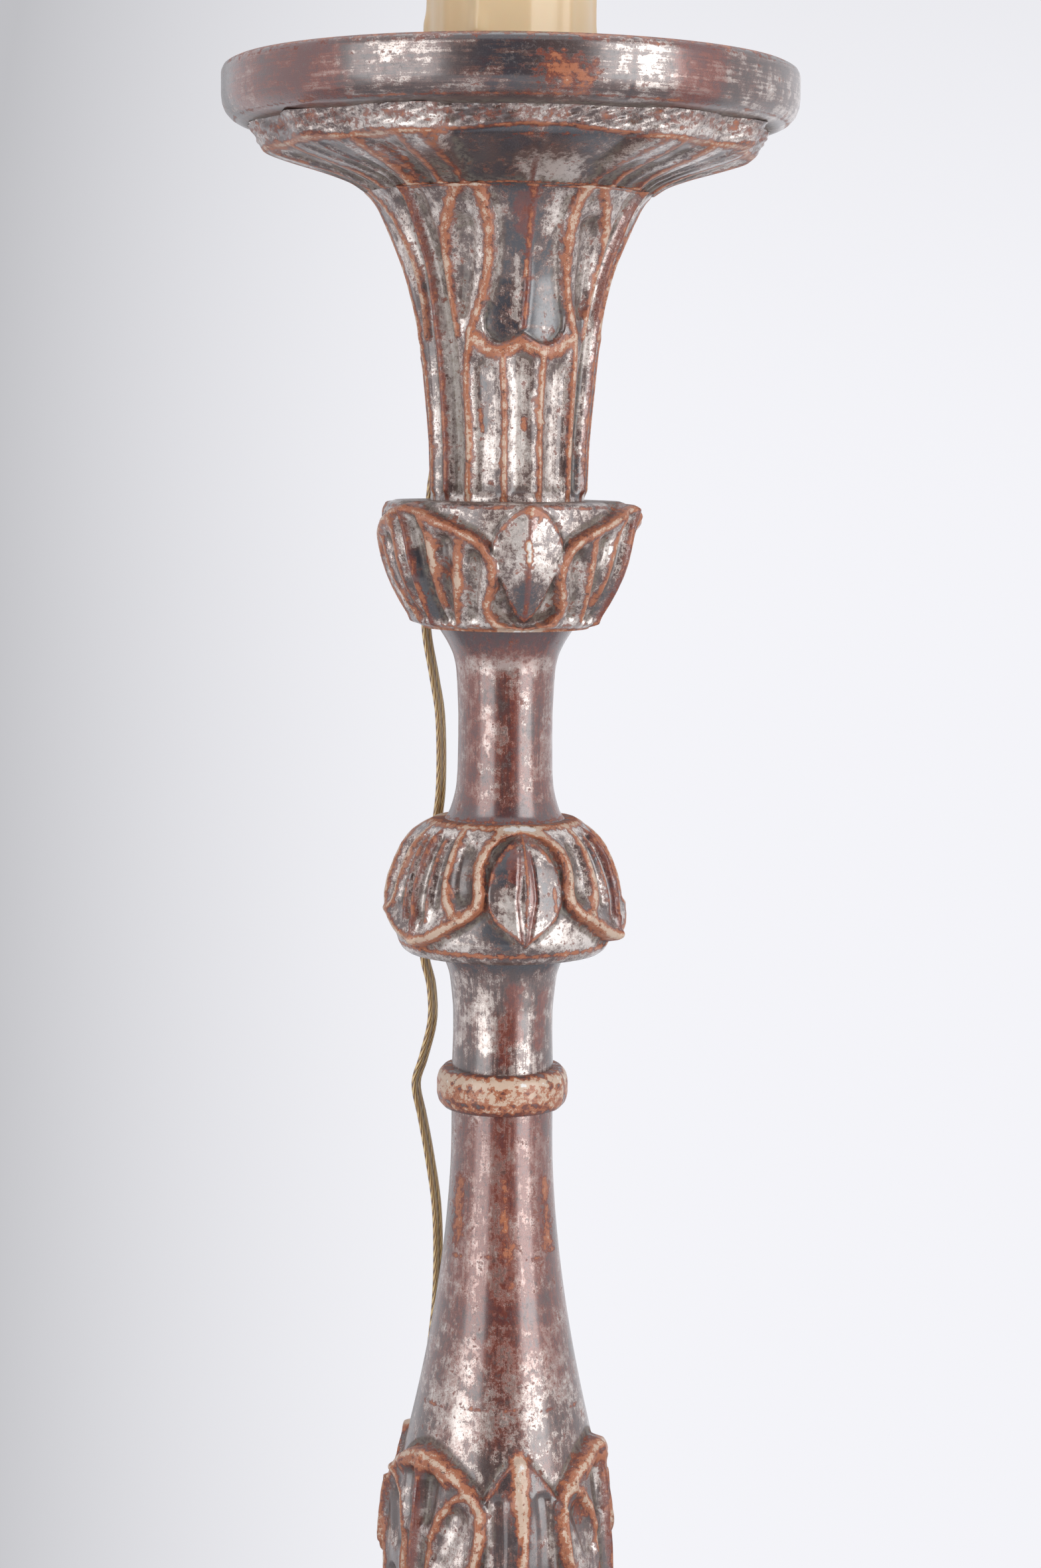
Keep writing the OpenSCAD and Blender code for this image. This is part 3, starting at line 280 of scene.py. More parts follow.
@dataclass
class Carving:
    """All the carving of one piece, in folded angles: 0 is a small leaf, 60 a large one."""

    scale: float                    # millimetres of surface to a degree
    blades: tuple[Blade, ...] = ()
    strokes: tuple[Stroke, ...] = ()
    marks: tuple[Mark, ...] = ()
    here: tuple[Stroke, ...] = ()   # strokes at their own true angles
    turn: float = 0.0               # degrees the whole carving is turned
    low: tuple[float, float] = (0.0, 0.0)      # the carving fades in between these heights
    high: tuple[float, float] = (0.0, 0.0)     # and out between these
    waver: float = 0.5              # degrees by which the hand-cut lines wander

    def on(self, angle: Array, z: Array) -> Cut:
        """Return the whole carving at angles and heights."""
        wander = np.sin(np.radians(2 * angle) + z / 13.0) + 0.6 * np.sin(np.radians(5 * angle) - z / 7.0)
        a = off_small(angle - self.turn + self.waver * wander)
        y = z + 0.35 * self.waver * np.sin(np.radians(4 * angle) + z / 11.0)
        cut = Cut.none(a.shape)
        for part in (*self.blades, *self.strokes):
            cut.add(part.on(a, y, self.scale))
        for part in self.here:
            cut.add(part.on(angle, z, self.scale))
        if self.low[1] > self.low[0]:
            cut.height = cut.height * smooth(self.low[0], self.low[1], z)
        if self.high[1] > self.high[0]:
            cut.height = cut.height * (1.0 - smooth(self.high[0], self.high[1], z))
        return cut

    def wear(self, cut: Cut, angle: Array, z: Array) -> None:
        """Add the marks to a cut: wear, painted highlights and painted dark reflections."""
        rough = ragged(angle * self.scale, z)
        for mark in self.marks:
            flat = tuple((x * self.scale, y) for x, y in mark.line)
            d, _ = line_distance(flat, angle * self.scale, z)
            d = np.maximum(d + rough * min(2.4, 0.3 * mark.width), 0.0)
            form = mark.amount * np.exp(-(2.0 * d / mark.width) ** 2)
            before = getattr(cut, mark.kind.value)
            setattr(cut, mark.kind.value, before + form)


@dataclass
class Outline:
    """A turned outline: (height, radius) points, bottom first, eased between them."""

    points: Points
    ease: float = 1.5
    heights: Array = field(init=False)
    radii: Array = field(init=False)

    def __post_init__(self) -> None:
        """Ease the outline once."""
        low, high = self.points[0][0], self.points[-1][0]
        count = int((high - low) / 0.25) + 1
        self.heights = np.linspace(low, high, count)
        straight = along(self.points, self.heights)
        reach = min(count - 1, max(1, int(3 * self.ease / 0.25)))
        kernel = ridge(np.arange(-reach, reach + 1) * 0.25, self.ease)
        padded = np.concatenate([2 * straight[0] - straight[reach:0:-1], straight,
                                 2 * straight[-1] - straight[-2:-reach - 2:-1]])
        self.radii = np.convolve(padded, kernel / kernel.sum(), mode="valid")

    def radius(self, z: Array) -> Array:
        """Return the radius at heights z."""
        return np.interp(z, self.heights, self.radii)


# ------------------------------------------------------------------ meshes

def finished(name: str, bm: bmesh.types.BMesh, angle: float = 40.0) -> bpy.types.Object:
    """Turn a bmesh into an object at the origin, smooth but for edges sharper than angle.

    Args:
        name: The piece's name.
        bm: The bmesh, in metres. It is freed.
        angle: Edges that turn more than this many degrees stay sharp.

    Returns:
        The new object.
    """
    bmesh.ops.recalc_face_normals(bm, faces=bm.faces[:])
    mesh = bpy.data.meshes.new(name)
    bm.to_mesh(mesh)
    bm.free()
    mesh.shade_smooth()
    mesh.set_sharp_from_angle(angle=math.radians(angle))
    piece = bpy.data.objects.new(name, mesh)
    bpy.context.scene.collection.objects.link(piece)
    return piece


def positions(mesh: bpy.types.Mesh) -> Array:
    """Return a mesh's vertex positions, one row each."""
    co = np.empty(len(mesh.vertices) * 3, np.float32)
    mesh.vertices.foreach_get("co", co)
    return co.reshape(-1, 3).astype(float)


def store(mesh: bpy.types.Mesh, name: str, values: Array) -> None:
    """Keep one value for each vertex in an attribute."""
    layer = mesh.attributes.get(name) or mesh.attributes.new(name, "FLOAT", "POINT")
    layer.data.foreach_set("value", values.astype(np.float32))


def spun(profile: list, columns: int) -> bmesh.types.BMesh:
    """Spin a profile round the Z axis.

    Args:
        profile: (height, radius) points in millimetres, in order.
        columns: Steps of the turn.

    Returns:
        The closed shape, in metres.
    """
    bm = bmesh.new()
    verts = [bm.verts.new((r * MM, 0.0, z * MM)) for z, r in profile]
    for a, b in zip(verts, verts[1:]):
        bm.edges.new((a, b))
    bmesh.ops.spin(bm, geom=bm.verts[:] + bm.edges[:], cent=(0, 0, 0), axis=(0, 0, 1), dvec=(0, 0, 0),
                   angle=2 * math.pi, steps=columns, use_merge=True, use_duplicate=False)
    bmesh.ops.remove_doubles(bm, verts=bm.verts[:], dist=1e-7)
    return bm


def rows_between(*spans: tuple[float, float, float]) -> list[float]:
    """Return heights through spans of (low, high, step), each height once."""
    found: list[float] = []
    for low, high, step in spans:
        count = max(1, int(round((high - low) / step)))
        found += [low + (high - low) * i / count for i in range(count)]
    return found + [spans[-1][1]]


FLAT_WEAR = {"rub": 0.0, "hollow": 1.0, "tone": 0.44, "red": 0.1}      # the flat ends, dull and dusty


@dataclass
class Turning:
    """A piece that is turned on a lathe and then carved.

    Attributes:
        name: The piece's name.
        node: The CAD node that it stands for.
        outline: Its turned outline.
        rows: Heights of its rows of points.
        columns: Points in a row.
        carving: What is carved in it.
        cap_rings: Shares of the end radius at which the flat ends have rings.
        top: (height, radius) points from the outer edge to the axis, where the upper end isn't flat.
    """

    ON_SIDE: ClassVar[float] = 0.02         # how near the outline a point of the side lies
    EDGE_REACH: ClassVar[float] = 2.6       # how far off the surroundings of a worn edge are measured
    EDGE_RUB: ClassVar[float] = 0.34
    HOLLOW_REACH: ClassVar[float] = 4.5

    name: str
    node: str
    outline: Outline
    rows: list[float]
    columns: int
    carving: Carving | None = None
    cap_rings: tuple[float, ...] = (0.6,)
    top: Points = ()

    def surface(self, angle: Array, z: Array) -> Cut:
        """Return the surface at angles and heights, its height counted from the axis."""
        cut = self.carving.on(angle, z) if self.carving else Cut.none(np.broadcast(angle, z).shape)
        cut.height = cut.height + self.outline.radius(z)
        return cut

    def build(self) -> bpy.types.Object:
        """Spin the outline, carve it and store its wear, painted highlights and painted hollow shade."""
        low, high = self.rows[0], self.rows[-1]
        ends = self.outline.radius(np.array([low, high]))
        profile = [(low, 0.0)] + [(low, ends[0] * s) for s in self.cap_rings]
        profile += [(z, float(r)) for z, r in zip(self.rows, self.outline.radius(np.array(self.rows)))]
        profile += self.top or [(high, ends[1] * s) for s in reversed(self.cap_rings)] + [(high, 0.0)]
        piece = finished(self.name, spun(profile, self.columns), 60.0)
        self.carve(piece.data)
        return piece

    def carve(self, mesh: bpy.types.Mesh) -> None:
        """Move the side's vertices to the carved surface and store its wear, painted highlights and painted
        hollow shade.
        """
        co = positions(mesh)
        z = co[:, 2] / MM
        turned = np.hypot(co[:, 0], co[:, 1]) / MM
        side = (np.abs(turned - self.outline.radius(z)) < self.ON_SIDE) & (turned > 1.0)
        heights = np.array(self.rows)
        around = np.degrees(np.arctan2(co[:, 0], -co[:, 1]))
        column = np.rint(around * self.columns / 360).astype(int) % self.columns
        row = np.abs(np.interp(z, heights, np.arange(len(heights)))).round().astype(int)
        turns = (np.arange(self.columns) * 360.0 / self.columns + 180.0) % 360.0 - 180.0
        angle, level = np.meshgrid(turns, heights)
        cut = self.surface(angle, level)

        def swell(reach: float) -> Array:
            """Return how far each point stands above its surroundings."""
            round_row = 2 * math.pi * np.maximum(cut.height.mean(axis=1), 5.0)
            steps = np.rint(reach * self.columns / round_row).astype(int)
            places = np.arange(self.columns)[None, :] + steps[:, None]
            back = np.arange(self.columns)[None, :] - steps[:, None]
            lines = np.arange(len(heights))[:, None]
            beside = cut.height[lines, places % self.columns] + cut.height[lines, back % self.columns]
            up = np.clip(np.searchsorted(heights, heights + reach), 0, len(heights) - 1)
            down = np.clip(np.searchsorted(heights, heights - reach), 0, len(heights) - 1)
            return cut.height - (beside + cut.height[up] + cut.height[down]) / 4

        grow = np.where(side, cut.height[row, column] / np.maximum(turned, 1e-6), 1.0)
        co[:, 0] *= grow
        co[:, 1] *= grow
        mesh.vertices.foreach_set("co", co.astype(np.float32).ravel())
        mesh.update()
        if self.carving:
            self.carving.wear(cut, angle, level)
        edges = smooth(0.35, 1.1, swell(self.EDGE_REACH))
        # hollow is how deep a point lies below its surroundings; the finish paints it darker, partly as the
        # patina of the recesses and partly as painted shade.
        fields = {"rub": np.maximum(cut.rub, self.EDGE_RUB * edges),
                  "hollow": smooth(0.15, 1.5, -swell(self.HOLLOW_REACH)),
                  "tone": 0.5 + 0.5 * np.clip(cut.tone, -1, 1), "red": cut.red}
        for label, field in fields.items():
            store(mesh, label, np.where(side, field[row, column], FLAT_WEAR[label]))


# ------------------------------------------------------------------ finishes

class Tree:
    """Adds nodes to a shader tree, few words a node."""

    def __init__(self, tree: bpy.types.NodeTree) -> None:
        """Start with an empty tree."""
        self.tree = tree
        tree.nodes.clear()

    def add(self, kind: str, sockets: dict, **settings: object) -> bpy.types.Node:
        """Add a node.

        Args:
            kind: The node's type, without its ShaderNode prefix.
            sockets: Input name or index to a socket, which is linked, or a value.
            settings: The node's own properties.

        Returns:
            The node.
        """
        node = self.tree.nodes.new("ShaderNode" + kind)
        for key, value in settings.items():
            setattr(node, key, value)
        for key, value in sockets.items():
            if isinstance(value, bpy.types.NodeSocket):
                self.tree.links.new(value, node.inputs[key])
            else:
                node.inputs[key].default_value = value
        return node

    def noise(self, vector: object, scale: float, detail: float = 3.0,
              rough: float = 0.6) -> bpy.types.NodeSocket:
        """Return cloudy noise."""
        return self.add("TexNoise", {"Vector": vector, "Scale": scale, "Detail": detail,
                                     "Roughness": rough}).outputs["Fac"]

    def math(self, operation: str, a: object, b: object = 0.0, clamp: bool = False) -> bpy.types.NodeSocket:
        """Return a sum of two values."""
        return self.add("Math", {0: a, 1: b}, operation=operation, use_clamp=clamp).outputs[0]

    def total(self, *parts: tuple[bpy.types.NodeSocket, float]) -> bpy.types.NodeSocket:
        """Return the sum of values, each times its weight."""
        found = None
        for value, weight in parts:
            found = self.add("Math", {0: value, 1: weight, 2: 0.0 if found is None else found},
                             operation="MULTIPLY_ADD").outputs[0]
        return found

    def fade(self, value: object, low: object, high: object, start: float = 0.0,
             end: float = 1.0) -> bpy.types.NodeSocket:
        """Return a smooth rise from start to end as value goes from low to high."""
        return self.add("MapRange", {"Value": value, "From Min": low, "From Max": high, "To Min": start,
                                     "To Max": end}, interpolation_type="SMOOTHSTEP").outputs["Result"]

    def mix(self, a: object, b: object, share: object) -> bpy.types.NodeSocket:
        """Return colour a turned to colour b by share."""
        a, b = ((*c, 1.0) if isinstance(c, tuple) else c for c in (a, b))
        return self.add("Mix", {0: share, 6: a, 7: b}, data_type="RGBA").outputs[2]

    def stretched(self, vector: object, scale: Colour, place: Colour = (0.0, 0.0, 0.0)) -> bpy.types.NodeSocket:
        """Return a vector moved and stretched."""
        return self.add("Mapping", {"Vector": vector, "Location": place, "Scale": scale}).outputs[0]

    def attribute(self, name: str) -> bpy.types.NodeSocket:
        """Return a value stored on the piece's vertices."""
        return self.add("Attribute", {}, attribute_name=name).outputs["Fac"]


def new_group(name: str, inputs: dict, outputs: dict) -> tuple[bpy.types.NodeTree, Tree, object, object]:
    """Make an empty shader group.

    Args:
        name: The group's name.
        inputs: Input name to (kind, default), where kind is Float, Color or Vector.
        outputs: Output name to kind.

    Returns:
        The group, its tree helper, its inputs' sockets and its output node.
    """
    group = bpy.data.node_groups.new(name, "ShaderNodeTree")
    tree = Tree(group)
    for label, (kind, default) in inputs.items():
        socket = group.interface.new_socket(name=label, in_out="INPUT", socket_type="NodeSocket" + kind)
        if default is not None:
            socket.default_value = default
    for label, kind in outputs.items():
        group.interface.new_socket(name=label, in_out="OUTPUT", socket_type="NodeSocket" + kind)
    source = group.nodes.new("NodeGroupInput")
    return group, tree, source.outputs, group.nodes.new("NodeGroupOutput")


class Palette:
    """Colours of the layers under and over the silver, as linear light."""

    BRIGHT: Colour = (0.78, 0.705, 0.65)
    SILVER: Colour = (0.47, 0.39, 0.35)
    UMBER: Colour = (0.14, 0.084, 0.072)
    PATINA: Colour = (0.070, 0.042, 0.038)
    BLUED: Colour = (0.040, 0.040, 0.050)
    MAROON: Colour = (0.125, 0.030, 0.024)
    RUST: Colour = (0.20, 0.046, 0.026)
    CLAY: Colour = (0.47, 0.165, 0.075)
    GESSO: Colour = (0.70, 0.53, 0.40)
    CHIP: Colour = (0.86, 0.84, 0.80)
    DUST: Colour = (0.26, 0.23, 0.175)
    PITS: Colour = (0.085, 0.040, 0.030)


def aged_silver_group() -> bpy.types.NodeTree:
    """Build the group that lays patina, clay and gesso over and under silver leaf."""
    group, t, given, out = new_group(
        "aged_silver",
        {"Vector": ("Vector", None), "Rub": ("Float", 0.0), "Hollow": ("Float", 0.0), "Tone": ("Float", 0.5),
         "Blush": ("Float", 0.0), "Leaf": ("Float", 0.5), "Red": ("Float", 0.2), "Clay": ("Float", 0.3),
         "Gesso": ("Float", 0.3), "Brush": ("Float", 0.3), "Round": ("Float", 0.0)},
        {"Color": "Color", "Roughness": "Float", "Metallic": "Float", "Coat": "Float", "Height": "Float"})
    p = Palette
    vector = given["Vector"]
    large = t.noise(vector, 36.0, 2.0, 0.5)
    middle = t.noise(vector, 150.0, 3.0, 0.6)
    speck = t.noise(vector, 430.0, 5.0, 0.76)
    second = t.noise(t.stretched(vector, (1.0, 1.0, 1.0), (0.7, 0.4, 0.9)), 360.0, 5.0, 0.76)
    fine = t.noise(vector, 1900.0, 2.0, 0.7)
    upright = t.noise(t.stretched(vector, (1.0, 1.0, 0.06)), 600.0, 4.0, 0.72)
    level = t.noise(t.stretched(vector, (0.05, 0.05, 1.0)), 600.0, 4.0, 0.72)
    streak = t.add("Mix", {0: given["Round"], 2: upright, 3: level}).outputs[0]
    grain = t.add("Mix", {0: given["Brush"], 2: speck, 3: streak}).outputs[0]
    # Tone carries the silver's own brightness and the highlights and dark reflections that some marks paint.
    tone = t.math("SUBTRACT", given["Tone"], 0.5)
    cover = t.total((large, 0.8), (middle, 1.0), (grain, 1.5), (fine, 0.4), (tone, 0.6),
                    (given["Hollow"], -0.08), (given["Leaf"], 1.0))
    cover = t.math("SUBTRACT", cover, 2.35)
    umber, leaf, bright = t.fade(cover, -0.2, -0.08), t.fade(cover, -0.03, 0.09), t.fade(cover, 0.11, 0.29)
    redden = t.total((large, 0.5), (second, 0.35), (streak, 0.45), (given["Blush"], 0.75), (given["Red"], 1.0))
    redden = t.fade(redden, 0.98, 1.3)
    ground = t.mix(p.PATINA, p.BLUED, t.fade(tone, -0.1, -0.35))
    ground = t.mix(ground, p.MAROON, redden)
    colour = t.mix(ground, t.mix(p.UMBER, p.RUST, redden), umber)
    show = t.math("SUBTRACT", 1.0, t.math("MULTIPLY", redden, 0.7))
    colour = t.mix(colour, p.SILVER, t.math("MULTIPLY", leaf, show))
    colour = t.mix(colour, p.BRIGHT, t.math("MULTIPLY", bright, show))
    dusty = t.math("MULTIPLY", t.math("POWER", given["Hollow"], 2.0), t.fade(second, 0.4, 0.6))
    # Painted shade: the deeper a point lies in a hollow the darker it is painted, partly the patina of the real
    # recesses and partly shade that the soft light alone doesn't give.
    colour = t.mix(colour, p.PATINA, t.math("MULTIPLY", given["Hollow"], 0.4))
    colour = t.mix(colour, p.DUST, t.math("MULTIPLY", dusty, 0.55))
    worn = t.total((given["Rub"], 1.0), (grain, 0.9), (middle, 1.0), (second, 1.1), (given["Clay"], 1.0))
    worn = t.math("SUBTRACT", worn, 1.8)
    rust, clay = t.fade(worn, 0.12, 0.26), t.fade(worn, 0.3, 0.46)
    gesso = t.fade(t.total((worn, 1.0), (given["Gesso"], 1.0), (speck, -1.6), (fine, 0.5)), 0.42, 0.62)
    colour = t.mix(colour, p.RUST, t.math("MULTIPLY", rust, 0.8))
    colour = t.mix(colour, p.CLAY, t.math("MULTIPLY", clay, 0.88))
    colour = t.mix(colour, p.GESSO, t.math("MULTIPLY", gesso, 0.9))
    colour = t.mix(colour, p.CHIP, t.fade(worn, 1.2, 1.35))
    pits = t.fade(t.total((second, 1.0), (fine, 0.3), (middle, 0.25)), 0.69, 0.60)
    colour = t.mix(colour, p.PITS, t.math("MULTIPLY", pits, 0.78))
    dull = t.math("POWER", given["Hollow"], 2.0)
    metal = t.math("SUBTRACT", 1.0, t.total((rust, 1.0), (dull, 0.6)), True)
    metal = t.math("MULTIPLY", metal, t.total((leaf, 0.45), (umber, 0.2), (bright, -0.1)))
    rough = t.total((grain, 0.2), (rust, 0.1), (given["Hollow"], 0.1), (dull, 0.3), (tone, 0.06), (fine, 0.1))
    rough = t.math("ADD", rough, 0.14)
    coat = t.math("SUBTRACT", 0.72, t.total((rust, 0.6), (dull, 0.5)), True)
    height = t.total((grain, 0.4), (second, 0.35), (leaf, 0.25), (rust, -0.3), (fine, 0.15), (pits, -0.3))
    for label, socket in (("Color", colour), ("Roughness", rough), ("Metallic", metal), ("Coat", coat),
                          ("Height", height)):
        group.links.new(socket, out.inputs[label])
    return group


class Brushing(Enum):
    """Direction of the brush and cloth marks on a piece."""

    UPRIGHT = 0.0
    ROUND = 1.0


@dataclass(frozen=True)
class AgedSilver:
    """Silver leaf over red clay and gesso, rubbed and darkened."""

    POLISH: ClassVar[float] = 0.19
    WAX_IOR: ClassVar[float] = 1.9

    name: str
    leaf: float = 0.5
    red: float = 0.2
    clay: float = 0.3
    gesso: float = 0.3
    brush: float = 0.3
    marks: Brushing = Brushing.UPRIGHT
    place: Colour = (0.0, 0.0, 0.0)

    def build(self, group: bpy.types.NodeTree) -> bpy.types.Material:
        """Return the material."""
        material = bpy.data.materials.new(self.name)
        material.use_nodes = True
        t = Tree(material.node_tree)
        coords = t.add("TexCoord", {}).outputs["Object"]
        vector = t.stretched(coords, (1.0, 1.0, 1.0), self.place)
        layers = t.add("Group", {}, node_tree=group)
        for label, source in (("Rub", "rub"), ("Hollow", "hollow"), ("Tone", "tone"), ("Blush", "red")):
            material.node_tree.links.new(t.attribute(source), layers.inputs[label])
        material.node_tree.links.new(vector, layers.inputs["Vector"])
        for label, value in (("Leaf", self.leaf), ("Red", self.red), ("Clay", self.clay), ("Gesso", self.gesso),
                             ("Brush", self.brush), ("Round", self.marks.value)):
            layers.inputs[label].default_value = value
        bump = t.add("Bump", {"Strength": 0.5, "Distance": 0.0005, "Height": layers.outputs["Height"]})
        shader = t.add("BsdfPrincipled", {
            "Base Color": layers.outputs["Color"], "Roughness": layers.outputs["Roughness"],
            "Metallic": layers.outputs["Metallic"], "Normal": bump.outputs[0],
            "Coat Weight": layers.outputs["Coat"], "Coat Roughness": self.POLISH, "Coat IOR": self.WAX_IOR})
        t.add("OutputMaterial", {"Surface": shader.outputs[0]})
        return material


@dataclass(frozen=True)
class Plain:
    """Metal, moulding compound, glazed ware or resin with fine unevenness and grime."""

    name: str
    colour: Colour
    second: Colour
    metallic: float = 0.0
    roughness: float = 0.35
    scale: float = 300.0
    stretch: Colour = (1.0, 1.0, 1.0)
    bump: float = 0.15
    coat: float = 0.0
    subsurface: float = 0.0

    def build(self) -> bpy.types.Material:
        """Return the material."""
        material = bpy.data.materials.new(self.name)
        material.use_nodes = True
        t = Tree(material.node_tree)
        coords = t.stretched(t.add("TexCoord", {}).outputs["Object"], self.stretch)
        cloud = t.noise(coords, self.scale * 0.2, 3.0)
        grain = t.noise(coords, self.scale * 2.5, 2.0)
        colour = t.mix(self.colour, self.second, t.fade(cloud, 0.4, 0.68))
        rough = t.math("ADD", t.math("MULTIPLY", grain, 0.16), self.roughness - 0.08)
        bump = t.add("Bump", {"Strength": self.bump, "Distance": 0.0003,
                              "Height": t.math("ADD", grain, t.math("MULTIPLY", cloud, 0.6))})
        shader = t.add("BsdfPrincipled", {
            "Base Color": colour, "Roughness": rough, "Metallic": self.metallic, "Normal": bump.outputs[0],
            "Coat Weight": self.coat, "Subsurface Weight": self.subsurface, "Subsurface Scale": 0.004})
        t.add("OutputMaterial", {"Surface": shader.outputs[0]})
        return material


def glass_material() -> bpy.types.Material:
    """Return clear bulb glass with a trace of grey."""
    material = bpy.data.materials.new("bulb_glass_clear")
    material.use_nodes = True
    t = Tree(material.node_tree)
    coords = t.add("TexCoord", {}).outputs["Object"]
    wave = t.noise(coords, 60.0, 1.0)
    bump = t.add("Bump", {"Strength": 0.05, "Distance": 0.001, "Height": wave})
    colour = t.mix((0.97, 0.975, 0.97), (0.92, 0.93, 0.93), wave)
    shader = t.add("BsdfPrincipled", {"Base Color": colour, "Roughness": 0.03, "IOR": 1.3,
                                      "Transmission Weight": 1.0, "Metallic": 0.0, "Normal": bump.outputs[0]})
    t.add("OutputMaterial", {"Surface": shader.outputs[0]})
    return material


def cord_material() -> bpy.types.Material:
    """Return clear gold sleeving with the twisted wire showing through, with a highlight painted on the crests
    of the twist.
    """
    material = bpy.data.materials.new("clear_gold_cord")
    material.use_nodes = True
    t = Tree(material.node_tree)
    run, across = t.attribute("run"), t.attribute("across")
    lay = t.math("ADD", t.math("MULTIPLY", run, 1076.0), t.math("MULTIPLY", across, 37.7))
    twist = t.math("ADD", t.math("MULTIPLY", t.math("SINE", lay), 0.5), 0.5)
    coords = t.add("TexCoord", {}).outputs["Object"]
    cloud = t.noise(coords, 90.0, 3.0)
    # Painted highlight: the crests of the twist are painted a pale gold.
    colour = t.mix((0.515, 0.305, 0.114), (0.83, 0.62, 0.30), t.fade(twist, 0.55, 0.95))
    colour = t.mix(colour, (0.16, 0.08, 0.026), t.fade(twist, 0.34, 0.05))
    colour = t.mix(colour, (0.36, 0.20, 0.075), t.math("MULTIPLY", t.fade(cloud, 0.5, 0.75), 0.6))
    groove = t.fade(t.math("ABSOLUTE", t.math("SUBTRACT", across, 0.5)), 0.0, 0.1)
    colour = t.mix((0.14, 0.07, 0.025), colour, groove)
    bump = t.add("Bump", {"Strength": 0.2, "Distance": 0.0003, "Height": twist})
    shader = t.add("BsdfPrincipled", {"Base Color": colour, "Roughness": t.fade(cloud, 0.2, 0.8, 0.2, 0.34),
                                      "Metallic": 0.0, "Normal": bump.outputs[0], "Coat Weight": 0.6,
                                      "Coat Roughness": 0.12, "Subsurface Weight": 0.15,
                                      "Subsurface Scale": 0.002})
    t.add("OutputMaterial", {"Surface": shader.outputs[0]})
    return material


class Finishes:
    """Every finish of the lamp, each built once."""

    def __init__(self) -> None:
        """Build the finishes."""
        group = aged_silver_group()
        self.made: dict[str, bpy.types.Material] = {}
        for aged in (
                AgedSilver("silver_pan", 0.44, 0.34, 0.24, 0.3, 0.7, Brushing.ROUND),
                AgedSilver("silver_flare", 0.53, 0.28, 0.28, 0.36, 0.2, place=(0.3, 0.1, 0.0)),
                AgedSilver("silver_trumpet", 0.57, 0.24, 0.3, 0.36, 0.45),
                AgedSilver("silver_cups", 0.57, 0.26, 0.3, 0.32, 0.25, place=(0.5, 0.2, 0.1)),
                AgedSilver("red_turned", 0.47, 0.34, 0.26, 0.2, 0.55, place=(0.1, 0.6, 0.2)),
                AgedSilver("silver_neck", 0.46, 0.4, 0.22, 0.2, 0.6, place=(0.4, 0.1, 0.4)),
                AgedSilver("worn_collar", 0.36, 0.5, 0.34, 0.42, 0.6, Brushing.ROUND),
                AgedSilver("silver_calyx", 0.45, 0.34, 0.28, 0.34, 0.55, place=(0.2, 0.2, 0.5)),
                AgedSilver("silver_base", 0.48, 0.3, 0.28, 0.32, 0.4, place=(0.7, 0.3, 0.3))):
            self.made[aged.name] = aged.build(group)
        for plain in (
                Plain("candle_resin", (0.93, 0.69, 0.41), (0.88, 0.62, 0.34), 0.0, 0.36, 120.0, (1, 1, 0.25),
                      coat=0.25, subsurface=0.1),
                Plain("brass", (0.66, 0.48, 0.20), (0.48, 0.33, 0.13), 1.0, 0.3, 400.0),
                Plain("steel", (0.50, 0.50, 0.51), (0.38, 0.38, 0.39), 1.0, 0.34, 400.0),
                Plain("nickel", (0.62, 0.60, 0.56), (0.52, 0.50, 0.46), 1.0, 0.22, 300.0),
                Plain("porcelain", (0.78, 0.76, 0.70), (0.70, 0.67, 0.60), 0.0, 0.2, 150.0, coat=0.5),
                Plain("gold_plastic", (0.36, 0.22, 0.085), (0.29, 0.17, 0.065), 0.0, 0.3, 240.0, coat=0.3),
                Plain("plain_wood", (0.50, 0.34, 0.19), (0.40, 0.25, 0.13), 0.0, 0.6, 300.0, (1, 1, 0.08))):
            self.made[plain.name] = plain.build()
        self.made["glass"] = glass_material()
        self.made["cord"] = cord_material()

    def dress(self, piece: bpy.types.Object, finish: str) -> None:
        """Give a piece a finish in place of any other."""
        piece.data.materials.clear()
        piece.data.materials.append(self.made[finish])


# ------------------------------------------------------------------ stem

RISE_LEAF: Points = (
    (60, 1106.2), (50, 1103.8), (40, 1099.4), (30, 1094.8), (24, 1092.0), (19, 1087.6), (15.4, 1081),
    (14.3, 1075.4), (15.2, 1069.8), (17.6, 1064.8), (19.6, 1060.2), (19.8, 1057), (16, 1053.4), (4, 1050.8),
    (0, 1050.4), (0, 1040), (66, 1040), (66, 1106.4))
RISE_BUD: Points = (
    (-4, 1106.4), (0, 1106.4), (8, 1101.4), (13, 1095.8), (16.3, 1089.6), (16.8, 1085), (15.2, 1078),
    (12.4, 1070), (9.5, 1062), (4.5, 1055), (0, 1053.2), (-4, 1053.2))
DROOP_LEAF: Points = (
    (0, 963), (0, 958.4), (6, 957), (13.5, 955), (19, 950.6), (21.8, 944), (21.6, 937.4), (20.4, 932.4),
    (22, 925), (28, 919.9), (36, 915.4), (43.5, 911.2), (51, 908.2), (60, 905.8), (66, 905.8), (66, 963))
DROOP_BUD: Points = (
    (-4, 956.8), (0, 956.8), (8.6, 953.6), (14.2, 948.4), (18.4, 941), (19.6, 932.4), (19, 926), (15.6, 919.6),
    (0, 908.4), (-4, 908.4))
PANEL: Points = (
    (-4, 1264.5), (21.4, 1264.5), (20.4, 1257), (20.6, 1248), (20.2, 1240), (17.8, 1231), (17, 1222),
    (17.6, 1214), (19.8, 1205), (23, 1196.5), (26.4, 1188.5), (26.2, 1182.4), (21.6, 1178), (15, 1176.4),
    (9, 1177.2), (3, 1179.8), (0, 1181.2), (-4, 1181.2))
